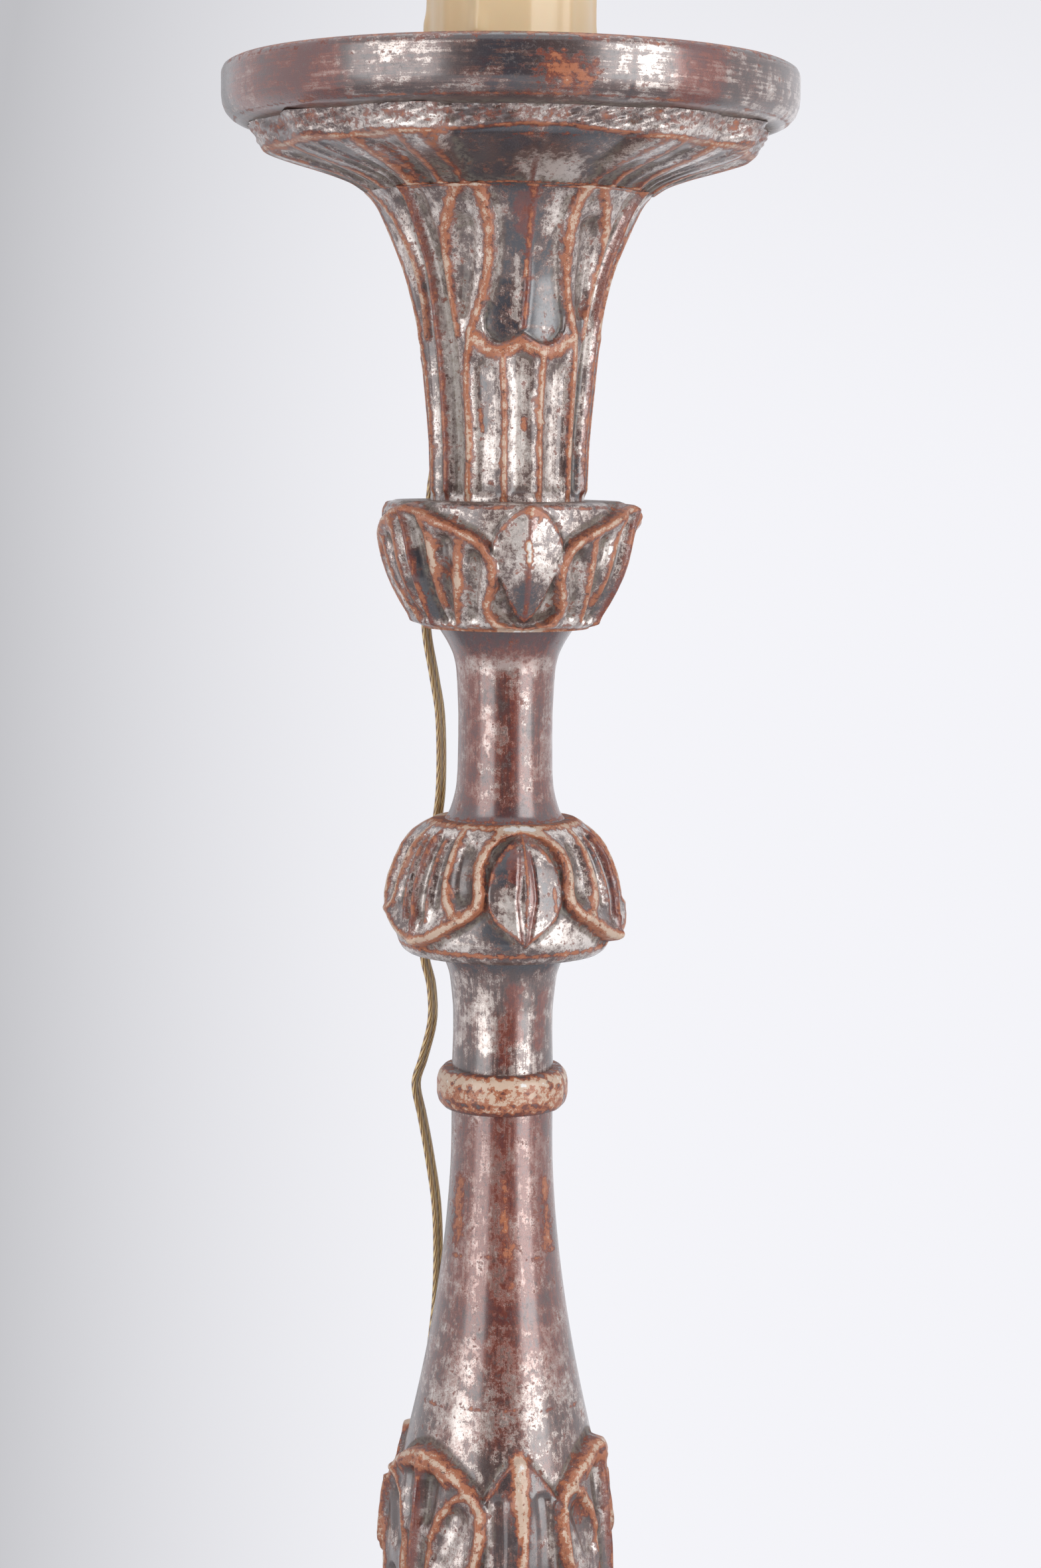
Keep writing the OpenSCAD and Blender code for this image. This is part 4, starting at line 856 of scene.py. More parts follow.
CALYX_LEAF: Points = (
    (60, 670.8), (52, 669.6), (44, 667), (35, 662.4), (28.6, 656.8), (23.4, 652.4), (19.4, 646), (18.8, 635),
    (21.2, 624.5), (24.6, 614), (30.5, 594), (37, 572), (45, 545), (53, 515), (60, 505), (66, 505),
    (66, 670.8))
CALYX_SMALL: Points = (
    (-4, 669.4), (0, 669.4), (6, 666.8), (12.5, 661.6), (20, 652.6), (24, 645), (26, 620), (24, 590),
    (18, 560), (8, 530), (0, 520), (-4, 520))


def trumpet_carving() -> Carving:
    """Return the leaves and panels that run over the trumpet's glued joint into the flare."""
    return Carving(
        0.69,
        blades=(Blade(PANEL, -2.1, 1.0, tone=-0.75, roll_width=1.6),),
        strokes=(
            Stroke(((33.4, 1228), (34.6, 1215), (36.6, 1203), (39.6, 1190)), 9.0, -3.0, end=0.6),
            Stroke(((54.4, 1256), (54, 1205), (50.6, 1178), (49.6, 1106)), 6.6, -2.6, tone=0.25),
            Stroke(((26, 1164), (26, 1104)), 12.6, -2.2), Stroke(((0, 1169), (0, 1104)), 12.6, -2.2),
            Stroke(((23.6, 1266), (22.8, 1245), (20.4, 1226), (20.8, 1215), (23, 1205), (26, 1197), (30, 1189),
                    (34.6, 1181), (37.4, 1171), (39, 1158), (39.6, 1140), (39.6, 1104)), 4.6, 1.9, 0.72, 0.8),
            Stroke(((31, 1243), (37.4, 1236), (43.6, 1226), (46.8, 1213), (46.4, 1196), (44.4, 1180)),
                   4.2, 1.5, 0.72),
            Stroke(((60, 1262), (60, 1104)), 4.2, 2.3, 0.3, red=1.0),
            Stroke(((0, 1262), (0, 1184)), 2.6, 0.9, 0.34, red=1.0),
            Stroke(((13, 1170), (13, 1104)), 3.4, 0.9, 0.74),
            Stroke(((0, 1176.4), (9, 1173.4), (16, 1172.6), (25, 1174.4), (32, 1179)), 7.0, 0.7, 0.66),
            Stroke(((17.4, 1242), (15, 1228), (14.6, 1218), (17.4, 1206), (21.4, 1196)),
                   2.4, 0.0, 0.0, tone=1.2)),
        marks=(
            tone(1.1, 3.4, (-4, 1214), (-3, 1187)), tone(0.9, 4.4, (14, 1241), (12.4, 1226)),
            tone(0.9, 1.6, (-1, 1183.5), (10, 1184), (22, 1182.6)), tone(0.5, 5.0, (9, 1224), (6, 1216)),
            red(0.9, 6.0, (-2, 1238), (-1, 1226)), rub(0.7, 1.4, (1.4, 1212), (1.6, 1206)),
            # The bright band in the left flute from -54 to -44 is a painted highlight.
            tone(1.0, 5.0, (-54, 1210), (-52, 1178), (-46, 1150), (-44, 1118)),
            tone(-1.2, 7.0, (50, 1164), (53, 1140), (54, 1110)), tone(0.8, 8.0, (58, 1184), (59, 1170)),
            tone(-0.8, 3.0, (-43, 1166), (-42, 1116)), tone(-0.7, 4.0, (46, 1198), (48, 1178)),
            red(0.9, 5.0, (64, 1240), (66, 1112)), tone(-0.6, 6.0, (-26, 1166), (-24, 1136)),
            tone(0.55, 5.0, (0, 1160), (-1, 1116)), tone(0.5, 5.0, (27, 1160), (27, 1116)),
            rub(0.5, 2.0, (-29, 1147), (-27, 1138)), rub(0.55, 3.0, (3, 1143), (5, 1139)),
            tone(-1.0, 1.6, (-33, 1139), (-31.6, 1138.6)), rub(1.3, 0.9, (16.4, 1142.6), (18.4, 1141.6)),
            rub(0.5, 0.7, (-60, 1243.6), (-21, 1243.4), (-8, 1243.7), (22, 1243.4), (60, 1243.6))),
        turn=2.2, low=(1107.5, 1112.0))


def rising_carving() -> Carving:
    """Return the rising cup's leaves."""
    return Carving(
        0.97,
        blades=(Blade(RISE_LEAF, 4.4, 1.6, 1.3, 4.2, 0.7, scoop=0.9),
                Blade(RISE_BUD, 2.6, 1.5, 0.0, 2.0, 0.0)),
        strokes=(
            Stroke(((25.5, 1082), (26.5, 1074), (29, 1066), (31.5, 1057)), 8.4, -2.4, end=0.8),
            Stroke(((39.8, 1089), (40.5, 1080), (42, 1071), (43.6, 1062), (45.6, 1054)), 7.4, -2.4, end=0.8),
            Stroke(((55, 1098), (54, 1088), (54, 1076), (53.5, 1064), (52, 1054)), 6.6, -2.8, end=0.9),
            Stroke(((32.2, 1089), (33.3, 1080), (34.8, 1071), (37.7, 1062.5), (41.2, 1054)), 4.6, 1.1, 0.72),
            Stroke(((49.5, 1099), (48, 1090), (47.5, 1080), (47.4, 1071), (46, 1061)), 4.2, 1.0, 0.6),
            Stroke(((60, 1103), (60, 1050)), 3.6, 2.6, 0.26, red=0.9),
            Stroke(((60, 1100), (50, 1098), (42, 1095)), 7.0, 1.4), Stroke(((0, 1106), (0, 1055)), 22.0, 1.9),
            Stroke(((0, 1104), (0, 1055)), 2.4, 0.8, 0.2, red=0.9)),
        marks=(
            tone(0.7, 20.0, (1, 1096), (1, 1083)), tone(-1.3, 19.0, (2, 1066), (2, 1062)),
            # The bright marks at -13 and +18.5 beside the bud are painted glints, painted highlights on the
            # leaf edges.
            tone(1.4, 2.6, (-13, 1075), (-13.6, 1090), (-17, 1092)),
            tone(1.5, 2.6, (18.4, 1078), (18.6, 1085)), tone(1.0, 4.0, (-16, 1061), (-8, 1055)),
            tone(1.1, 3.6, (9, 1056), (18, 1064)), tone(0.7, 3.0, (12, 1072), (16, 1078)),
            rub(1.7, 2.2, (1.6, 1089), (2.2, 1085), (1.8, 1081.6)), rub(0.6, 5.0, (2, 1103.6), (6, 1101)),
            red(0.9, 2.0, (4, 1104), (3.6, 1096)), tone(-1.2, 7.0, (-55, 1082), (-54, 1057)),
            tone(0.8, 4.0, (-55, 1099), (-54, 1088)), tone(-1.2, 9.0, (58, 1066), (60, 1056)),
            tone(0.6, 14.0, (70, 1100), (74, 1080)), tone(0.9, 3.0, (-36, 1088), (-33, 1081)),
            red(1.0, 6.0, (72, 1074), (70, 1060)), tone(0.9, 3.0, (-48, 1066), (-46, 1056)),
            tone(0.8, 2.6, (24, 1074), (28, 1066)), tone(0.8, 4.0, (48, 1088), (43, 1076)),
            rub(0.45, 7.0, (-44, 1089), (-46, 1078)), rub(0.3, 8.0, (-38, 1076), (-30, 1070)),
            rub(0.6, 2.6, (-180, 1048.6), (180, 1048.6)), tone(0.4, 3.0, (-60, 1052), (60, 1052))),
        turn=2.4, low=(1048.5, 1051.4), high=(1105.2, 1106.6))


def drooping_carving() -> Carving:
    """Return the drooping cup's leaves."""
    return Carving(
        0.93,
        blades=(Blade(DROOP_LEAF, 4.0, 1.6, 1.5, 4.8, 0.92, scoop=0.9),
                Blade(DROOP_BUD, 3.0, 1.5)),
        strokes=(
            Stroke(((32.6, 949), (32.4, 940), (31.6, 931)), 10.0, -2.6),
            Stroke(((46.6, 952), (46.4, 938), (46.8, 926)), 5.6, -1.9),
            Stroke(((56, 952), (56, 936), (56.4, 920)), 6.2, -2.5),
            Stroke(((41.6, 957), (41.6, 940), (40, 929), (36.6, 922.6), (33, 920.6)), 4.8, 1.3, 0.9),
            Stroke(((51, 954), (51, 938), (51.6, 918)), 3.4, 0.7, 0.35),
            Stroke(((60, 957), (60, 908)), 3.6, 2.2, 0.3, red=0.9),
            Stroke(((38, 920), (48, 914), (60, 910)), 5.0, 1.0), Stroke(((0, 955), (0, 910)), 22.0, 1.8),
            Stroke(((-0.6, 956), (-1, 909)), 2.6, 1.1, 0.78),
            Stroke(((2.6, 950), (4.6, 930), (1.6, 911)), 1.6, -0.8, 0.0, red=1.0)),
        marks=(
            tone(-1.0, 13.0, (-6, 949), (-8, 940)), tone(0.9, 10.0, (-7, 930), (-4, 918)),
            red(1.0, 6.0, (-3, 949), (-2.6, 940)), tone(-0.5, 9.0, (11, 944), (13, 922)),
            # The bright mark from 15 to 20 along the bud's edge is a painted glint; the rubbed line beside it
            # is wear.
            tone(1.0, 3.0, (15, 949), (20, 944)), rub(0.4, 1.6, (15, 951), (20, 945), (23, 939)),
            rub(0.7, 1.8, (17.6, 934), (18, 925)), red(1.0, 2.4, (4, 950), (6.4, 932), (4.4, 913)),
            tone(-0.9, 10.0, (-16, 916), (-8, 909)), tone(1.2, 11.0, (14, 915), (30, 910), (44, 908)),
            tone(0.8, 3.0, (-17, 950), (-14, 944)), tone(0.9, 6.0, (-40, 910), (-28, 906)),
            tone(1.2, 5.0, (-57, 946), (-55, 928)), tone(1.0, 4.0, (-47, 922), (-46, 916)),
            red(1.0, 4.0, (-59, 954), (-57, 944)), tone(-0.9, 7.0, (55, 948), (60, 932), (58, 922)),
            tone(0.5, 5.0, (36, 936), (37, 930)), rub(0.45, 6.0, (66, 950), (72, 938)),
            rub(0.55, 2.2, (-180, 903.6), (-60, 903.8), (0, 903.3), (60, 903.8), (180, 903.6)),
            rub(0.75, 2.0, (-180, 959.6), (180, 959.6)), tone(0.35, 3.0, (-70, 957), (70, 957))),
        turn=3.2, low=(901.5, 907.0), high=(954.5, 960.0))


def calyx_carving() -> Carving:
    """Return the baluster's leaves and the rubbed places of its bell, with highlights and a dark reflection
    painted on the bell and a highlight painted in a leaf's hollow.
    """
    return Carving(
        0.9,
        blades=(Blade(CALYX_SMALL, 2.6, 1.4, 0.3, 2.6, 0.25, tone=-0.35),
                Blade(CALYX_LEAF, 4.4, 1.8, 1.4, 5.0, 0.84, scoop=0.9)),
        strokes=(
            Stroke(((36.4, 641), (39.6, 632), (42.4, 624)), 13.0, -3.0, end=0.8),
            Stroke(((52.4, 656), (52.6, 648), (54, 639)), 8.6, -2.6, end=0.8),
            Stroke(((40, 606), (44, 580), (49, 548), (54, 522)), 8.0, -2.0, end=0.5),
            Stroke(((52, 628), (53, 600), (55.5, 560)), 5.4, -1.8, end=0.5),
            Stroke(((28, 655), (38, 650.4), (44.6, 642), (49.4, 630), (50.6, 618), (52, 596), (54, 566)),
                   4.4, 1.4, 0.74, 0.7),
            Stroke(((60, 668), (59.6, 640), (60, 600), (60, 520)), 3.6, 2.4, 0.3, red=1.0),
            Stroke(((60, 664), (50, 662.6), (42, 659)), 7.0, 1.6, 0.55),
            Stroke(((0, 667), (0, 649)), 9.4, 1.7, 1.3, 0.86),
            Stroke(((0, 649), (0, 632)), 8.0, 1.5, 1.2, 0.6),
            Stroke(((0, 632), (0, 525)), 4.8, 1.1, 1.05, 0.7),
            Stroke(((12, 650), (12.6, 620), (9, 560)), 7.0, -1.1),
            Stroke(((21.4, 646), (20.8, 630), (23, 610)), 2.6, -1.6)),
        marks=(
            rub(-0.5, 1.5, (4.4, 664), (4.2, 652), (5, 640), (3.6, 627)),
            # The bright mark at -50 in the large leaf's upper hollow is a painted highlight.
            tone(1.3, 3.2, (-50.6, 652), (-50, 641)), tone(1.0, 3.0, (-13, 650), (-13, 622)),
            tone(1.0, 3.2, (20, 648), (21, 622)), tone(0.9, 5.0, (-37, 634), (-33, 630)),
            tone(0.6, 3.0, (-36, 644), (-26, 638)), tone(1.1, 2.4, (-13, 655), (-9, 662), (-4, 668)),
            tone(1.0, 2.4, (11, 668), (17, 663), (24, 656)), tone(1.0, 4.0, (-18, 660), (-24, 665)),
            tone(1.0, 7.0, (60, 655), (66, 630)), tone(0.9, 5.0, (-70, 645), (-68, 632)),
            tone(0.7, 4.0, (32, 632), (36, 624)), rub(0.35, 8.0, (38, 646), (42, 638)),
            rub(0.46, 15.0, (-60, 790), (-60, 770)), rub(0.42, 9.0, (-4, 793), (-5, 762)),
            rub(0.44, 17.0, (46, 790), (48, 768)), rub(0.34, 6.0, (1, 763), (0, 747)),
            red(0.4, 170.0, (0, 800), (0, 760)), tone(-0.4, 10.0, (-180, 818), (180, 818)),
            tone(0.25, 12.0, (-180, 821), (180, 821)),
            rub(0.5, 0.8, (-80, 757), (-20, 759.5), (30, 758), (80, 761)),
            # The bright bands at -35 and +18 on the lower bell are painted highlights where the side lamps
            # reflect, and the dark band at -8 between them is a painted dark reflection of the side behind the
            # camera.
            rub(0.45, 0.8, (-80, 688), (-10, 691), (60, 687)), tone(0.45, 12.0, (-34, 716), (-36, 678)),
            tone(0.3, 12.0, (16, 720), (20, 676)), tone(-0.5, 9.0, (-8, 700), (-8, 676)),
            tone(0.4, 24.0, (-60, 690), (60, 692))),
        turn=4.2, low=(505.0, 522.0), high=(672.0, 673.4))


SPOOL_WEAR_AND_SHEEN = Carving(0.4, marks=(
    red(0.27, 200.0, (0, 1020), (0, 980)), tone(0.75, 7.0, (-50, 1034), (0, 1032), (50, 1034)),
    tone(-1.0, 17.0, (-180, 1046), (180, 1046)), tone(-0.5, 15.0, (-180, 964), (180, 964)),
    red(0.6, 6.0, (-52, 1026), (-52, 972)), red(0.8, 3.0, (3, 1018), (5, 982)),
    # The bright marks at -30 and +18 are painted highlights, where the two side lamps reflect.
    tone(0.5, 4.0, (-31, 1012), (-30, 990)), tone(0.35, 4.0, (18, 1024), (18, 986)),
    rub(0.4, 1.6, (-180, 961.4), (180, 961.4))))
NECK_WEAR_AND_SHEEN = Carving(0.4, marks=(
    red(0.8, 6.0, (4, 884), (6, 862)), red(0.8, 5.0, (42, 880), (38, 858)),
    # The bright marks at -28 and +22 are painted highlights, where the two side lamps reflect.
    tone(-0.7, 9.0, (-180, 896), (180, 896)), tone(0.5, 9.0, (-30, 880), (-26, 856)),
    tone(0.4, 6.0, (22, 876), (22, 856)), red(0.5, 5.0, (-8, 868), (-6, 850))))
COLLAR_WEAR = Carving(0.52, marks=(
    rub(0.98, 4.2, (-180, 841.2), (180, 841.2)), rub(0.62, 9.0, (-180, 834.6), (180, 834.6)),
    rub(0.4, 3.2, (-180, 828), (180, 828)), tone(-1.0, 1.4, (62, 843), (63, 828)),
    rub(-0.9, 1.0, (62, 843), (63, 828))))
PAN_WEAR_AND_SHEEN = Carving(2.27, marks=(
    red(0.5, 38.0, (-70, 1286), (-70, 1287)), red(0.85, 36.0, (-51, 1280), (-51, 1292)),
    # The bright bands at -30 and +16 are painted highlights and the dark band at -10 a painted dark reflection
    # of the side behind the camera, laid over the brushed silver.
    tone(-0.45, 34.0, (-51, 1280), (-51, 1292)), tone(0.15, 44.0, (-30, 1280), (-30, 1290)),
    tone(-0.35, 32.0, (-10, 1280), (-10, 1292)), rub(0.5, 15.0, (-1, 1286), (5, 1283)),
    tone(0.8, 34.0, (16, 1280), (17, 1291)), tone(-1.0, 1.2, (15, 1274), (15.3, 1299)),
    red(0.95, 22.0, (30, 1280), (30, 1294)), tone(0.1, 28.0, (42, 1280), (42, 1291)),
    tone(0.6, 70.0, (66, 1283), (66, 1288)), rub(0.42, 2.6, (-180, 1299.6), (180, 1299.6)),
    tone(-0.25, 70.0, (120, 1284), (-120, 1288))))
PAN_DISH: Points = (
    (PAN_TOP, 114.8), (PAN_TOP - 0.4, 114.1), (DISH_Z + 0.3, 113.8), (DISH_Z, 113.2), (DISH_Z, 88.0),
    (DISH_Z, 62.0), (DISH_Z, 40.0), (DISH_Z, 12.0), (DISH_Z, 0.0))
FLARE_CARVING = Carving(
    1.5,
    strokes=(
        Stroke(((40, 1258), (41, 1243)), 14.0, -4.4, end=0.3),
        Stroke(((56.6, 1260), (57.4, 1243)), 10.0, -4.8, end=0.3, tone=-0.4),
        Stroke(((27.4, 1261), (25, 1242)), 5.0, 1.6, 0.4), Stroke(((33.4, 1259), (36, 1242)), 4.6, 1.6, 0.5),
        Stroke(((47.4, 1260), (51.4, 1242)), 5.4, 2.0, 0.62)),
    marks=(
        tone(1.9, 12.0, (0, 1251), (14, 1248)), tone(0.9, 3.0, (-6, 1254), (-1, 1246)),
        rub(0.22, 7.0, (-180, 1269), (180, 1269)), tone(0.5, 9.0, (-45, 1268), (-25, 1266)),
        tone(0.6, 9.0, (26, 1258), (22, 1246)), tone(0.7, 8.0, (34, 1266), (58, 1268)),
        tone(0.5, 6.0, (-4, 1268), (10, 1269)), rub(0.35, 9.0, (-42, 1256), (-46, 1246)),
        rub(0.5, 0.7, (-60, 1244.4), (-21, 1244.3), (-8, 1244.6), (22, 1244.3), (60, 1244.4))),
    turn=0.5, low=(1243.0, 1243.5), high=(1259.5, 1264.0), waver=0.8)


def bell_outline() -> list[tuple[float, float]]:
    """Return the plain bell's outline: narrow under the collar and wider down to the leaf tips."""
    bell_h, plain = 151.5, 13.5
    found = []
    for h in np.linspace(0.0, bell_h, 24):
        d = bell_h - h
        found.append((TIPS_Z + h, 23.6 + 18.5 * (max(0.0, d - plain) / (bell_h - plain)) ** 1.76))
    return found


CALYX_BODY: Points = (
    (0, 28), (0.07, 30.5), (0.15, 34.5), (0.24, 40), (0.32, 45.5), (0.41, 49.3), (0.5, 50.5), (0.68, 49.3),
    (0.84, 47.2), (0.91, 45.5), (0.985, 42.6))
RISE_BODY: Points = (
    (0, 51.3), (1, 54.7), (4, 55.3), (10, 54.9), (16, 54), (22, 52.9), (28, 51.5), (34, 49.5), (40, 46.8),
    (46, 43.5), (52, 39.8), (56, 38.3), (58, 37.8))
DROOP_BODY: Points = (
    (0, 33), (1.5, 35.7), (5, 36.3), (8, 39.5), (12, 42.5), (18, 45.5), (26, 48.5), (34, 50.2), (44, 51),
    (52, 50.4), (57, 48.8), (60, 47.2), (61.5, 45))
TRUMPET_BODY: Points = (
    (0, 35.2), (9, 35.2), (26, 35.7), (38, 36.7), (50, 37.9), (62, 39), (74, 40.2), (86, 42), (98, 44.8),
    (106, 47.4), (114, 50.6), (122, 54), (130, 57.6), (134.5, 60.6), (137.5, 64))
FLARE_BODY: Points = (
    (0, 64), (4, 70), (8.5, 79), (13, 90), (18, 102), (22, 104), (29, 108))


def raised(z: float, body: Points) -> Points:
    """Return a body's (height above z, radius) table with its real heights."""
    return tuple((z + h, r) for h, r in body)


def hung(z: float, body: Points) -> Points:
    """Return a body's (distance below z, radius) table with its real heights, bottom first."""
    return tuple((z - d, r) for d, r in reversed(body))


@dataclass
class Knop(Turning):
    """The knop under the baluster, with twelve gadroons."""

    lobes: int = 12

    def surface(self, angle: Array, z: Array) -> Cut:
        """Return the gadrooned surface."""
        t = (z - KNOP_Z) / 76.0
        swell = np.maximum(0.0, np.sin(np.pi * np.clip(t, 0, 1))) ** 0.7
        groove = 1 - np.abs(np.cos(np.radians(self.lobes / 2 * angle)))
        cut = Cut.none(np.broadcast(angle, z).shape)
        cut.height = self.outline.radius(z) - 2.9 * swell * groove ** 1.3
        return cut


@dataclass
class Flare(Turning):
    """The flared block under the pan: hollow panels between leaves with thick scalloped edges."""

    def surface(self, angle: Array, z: Array) -> Cut:
        """Return the flared surface with its leaves."""
        h = z - FLARE_Z
        a = off_small(angle)
        leaf = smooth(21.0, 26.0, a + 0.6 * np.sin(np.radians(7 * angle)))
        cut = self.carving.on(angle, z)
        folds = cut.height * smooth(18.0, 26.0, a)
        lobe = leaf * 11.0 * smooth(3.0, 16.0, h) * (0.75 + 0.25 * np.cos(np.radians(12 * (a - 60))))
        edge = 19.6 + 1.2 * np.cos(np.radians(8 * a)) - 0.5 * ridge(a, 3.0)
        panel = 1.8 * smooth(0.0, 1.1, h - edge) - 1.6 * smooth(3.0, 12.0, h) + 0.8 * ridge(a, 1.2)
        scallop = leaf * smooth(15.0, 19.0, h) * 1.2 * np.cos(np.radians(18 * (a - 60)))
        rough = np.sin(np.radians(31 * angle) + h) + np.sin(np.radians(53 * angle) - 1.7 * h)
        rough = smooth(19.5, 22.0, h) * 0.35 * rough
        cut.height = self.outline.radius(z) + lobe + folds + (1 - leaf) * panel + scallop + rough
        cut.rub = np.maximum(cut.rub * leaf, 0.72 * leaf * ridge(h - 17.8, 1.1))
        cut.rub = np.maximum(cut.rub, 0.5 * (1 - leaf) * ridge(h - edge - 0.9, 0.8))
        cut.tone = cut.tone - 0.8 * (1 - leaf) * (1 - smooth(0.0, 1.0, h - edge))
        cut.red = np.maximum(cut.red, (1 - leaf) * ridge(a, 1.0) * (1 - smooth(8.0, 12.0, h)))
        return cut


class Stem:
    """Everything turned: the stem, the block of the base and the candle sleeve."""

    def __init__(self, finishes: Finishes) -> None:
        """Keep the finishes for the pieces."""
        self.finishes = finishes

    def pieces(self) -> list[tuple[Turning, str]]:
        """Return each turning with the name of its finish."""
        trumpet = trumpet_carving()
        calyx = tuple((CALYX_Z + t * 170.0, r) for t, r in CALYX_BODY)
        foot = tuple((BALUSTER_Z + h, 26 + 4.5 * math.exp(-((h - 3) / 4) ** 2)
                      + 2 * float(smooth(38, 50, np.array(h)))) for h in (0, 2, 4, 6, 9, 12, 18, 30, 38, 44))
        return [
            (Turning("drip_pan_wood", "drip_pan", Outline(raised(PAN_Z, (
                (0, 117), (1, 122), (3, 125.6), (6, 128.3), (9.5, 129.6), (13, 130), (23, 130), (25.8, 128.8),
                (27, 126))), 0.6), rows_between((PAN_Z, PAN_TOP, 0.75)), 480, PAN_WEAR_AND_SHEEN, (0.1, 0.5), PAN_DISH),
             "silver_pan"),
            (Flare("flare_wood", "flare_block", Outline(raised(FLARE_Z, FLARE_BODY), 1.2),
                   rows_between((FLARE_Z, PAN_Z, 0.35)), 540, FLARE_CARVING), "silver_flare"),
            (Turning("trumpet_wood", "trumpet", Outline(raised(TRUMPET_Z, TRUMPET_BODY), 2.5),
                     rows_between((TRUMPET_Z, FLARE_Z, 0.6)), 408, trumpet), "silver_trumpet"),
            (Turning("rising_cup_wood", "rising_cup", Outline(hung(TRUMPET_Z, RISE_BODY), 0.8),
                     rows_between((RISE_Z, 1096, 0.45), (1096, TRUMPET_Z, 0.3)), 420, rising_carving()),
             "silver_cups"),
            (Turning("spool_wood", "spool", Outline(raised(SPOOL_Z, (
                (0, 27.7), (2, 25.9), (8, 23.9), (14, 22.5), (22, 21.9), (36, 21.7), (48, 21.7), (62, 22.3),
                (70, 22.9), (76, 24.3), (82, 27.3), (88, 31.2))), 2.0),
                rows_between((SPOOL_Z, RISE_Z, 0.8)), 192, SPOOL_WEAR_AND_SHEEN), "red_turned"),
            (Turning("drooping_cup_wood", "drooping_cup", Outline(hung(SPOOL_Z, DROOP_BODY), 0.8),
                     rows_between((DROOP_Z, SPOOL_Z, 0.42)), 420, drooping_carving()), "silver_cups"),
            (Turning("neck_wood", "neck", Outline(raised(NECK_Z, (
                (0, 23.6), (15, 23.1), (28, 23.2), (37, 24.1), (44, 25), (49, 26.7), (55, 30.1))), 2.0),
                rows_between((NECK_Z, DROOP_Z, 0.8)), 192, NECK_WEAR_AND_SHEEN), "silver_neck"),
            (Turning("collar_ring_wood", "collar_ring", Outline(raised(COLLAR_Z, (
                (0, 27.3), (2.5, 29.6), (6, 30.5), (12.5, 30.5), (16, 29.6), (18.5, 27.3))), 0.8),
                rows_between((COLLAR_Z, NECK_Z, 0.5)), 192, COLLAR_WEAR), "worn_collar"),
            (Turning("baluster_wood", "baluster", Outline(foot + calyx + tuple(bell_outline()), 1.6),
                     rows_between((BALUSTER_Z, CALYX_Z, 2.2), (CALYX_Z, 604, 1.3), (604, 676, 0.55),
                                  (676, COLLAR_Z, 1.6)), 300, calyx_carving()), "silver_calyx"),
            (Knop("knop_wood", "knop", Outline(tuple(
                (KNOP_Z + 76.0 * t, 31 - 4 * t + (16 + 4 * t) * math.sin(math.pi * t) ** 0.7)
                for t in np.linspace(0, 1, 41)), 0.8), rows_between((KNOP_Z, BALUSTER_Z, 0.9)), 288),
             "silver_base"),
            (Turning("base_cap_wood", "base_cap", Outline(raised(CAP_Z, (
                (0, 46), (2, 49.3), (5, 50), (8, 49.3), (11, 46), (12, 43), (17, 39), (24, 36.5), (28, 37),
                (29, 39.5), (32, 40.5), (35, 39.5), (38, 37))), 0.7), rows_between((CAP_Z, KNOP_Z, 0.6)), 192),
             "silver_base")]

    def more(self) -> list[tuple[Turning, str]]:
        """Return the candle sleeve and the block of the base with their finishes."""
        return [
            (CandleSleeve("candle_sleeve_wax", "candle_sleeve", Outline(((DISH_Z, 36.5), (SLEEVE_TOP, 36.5))),
                          rows_between((DISH_Z, 1454, 1.2)), 300, Carving(0.637, here=drip_strokes())),
             "candle_resin"),
            (BaseBlock("base_block_wood", "base_block", Outline(((BLOCK_Z, 60.0), (CAP_Z, 60.0))),
                       rows_between((BLOCK_Z, CAP_Z, 1.6)), 408, BLOCK_CARVING), "silver_base")]

    def build(self) -> None:
        """Build, place and dress every turning."""
        for turning, finish in self.pieces() + self.more():
            piece = turning.build()
            self.finishes.dress(piece, finish)
            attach(piece, "candle" if turning.node == "candle_sleeve" else "stand")
            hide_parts(turning.node)
            LOG.info("%s: %d faces", piece.name, len(piece.data.polygons))


# ------------------------------------------------------------------ cord

DROP_POINTS = (
    (-20, 36, 1143.5), (-24, 43, 1139.5), (-26.5, 48, 1132), (-27.5, 50, 1122), (-29, 52.5, 1108),
    (-30.5, 53, 1080), (-31, 53, 1047), (-27, 52.5, 1022), (-24, 52, 1002), (-23.5, 52, 971),
    (-25.5, 52.5, 950), (-29.5, 53, 918), (-31, 53, 890), (-27.5, 52.5, 873), (-27, 52, 856), (-31, 53, 838),
    (-34.5, 53.5, 825), (-31.5, 53, 809), (-28, 52.5, 790), (-24.5, 52, 766), (-23.5, 52, 742), (-24, 53, 716),
    (-27, 54, 686), (-30, 55, 650), (-33, 55, 610), (-36, 54, 565), (-39, 52, 515), (-42, 50, 460),
    (-44.5, 48, 405), (-47, 46, 350), (-49.5, 44, 295), (-52, 43, 240), (-55, 43, 190), (-59, 44.5, 145),
    (-65, 48, 103), (-73, 53, 66), (-83, 60, 34), (-93, 68, 14), (-103, 78, 4), (-112, 91, 1.5),
    (-119, 107, 1.3), (-123, 125, 1.3), (-124, 145, 1.3), (-122, 163, 1.5), (-116, 177, 3), (-108, 186, 5.5),
    (-98, 190, 8))
LEAD_POINTS = (
    (18, 190, 8), (28, 189.5, 6), (40, 187.5, 3.6), (52, 183, 2.6), (64, 176, 2.6), (75, 169.6, 2.6),
    (85, 165.6, 2.6))
TAIL_POINTS = (
    (128, 120, 19.3), (128, 110, 16.4), (128, 100, 12.6), (128, 90, 9.4), (128, 82, 7.5), (128, 75, 6.8))
CORD_WIDTH = 5.2
CORD_THICK = 2.6
EXIT_ANGLE, EXIT_REACH, EXIT_Z, EXIT_SLOPE = 209.0, 37.2, 1144.5, 15.0


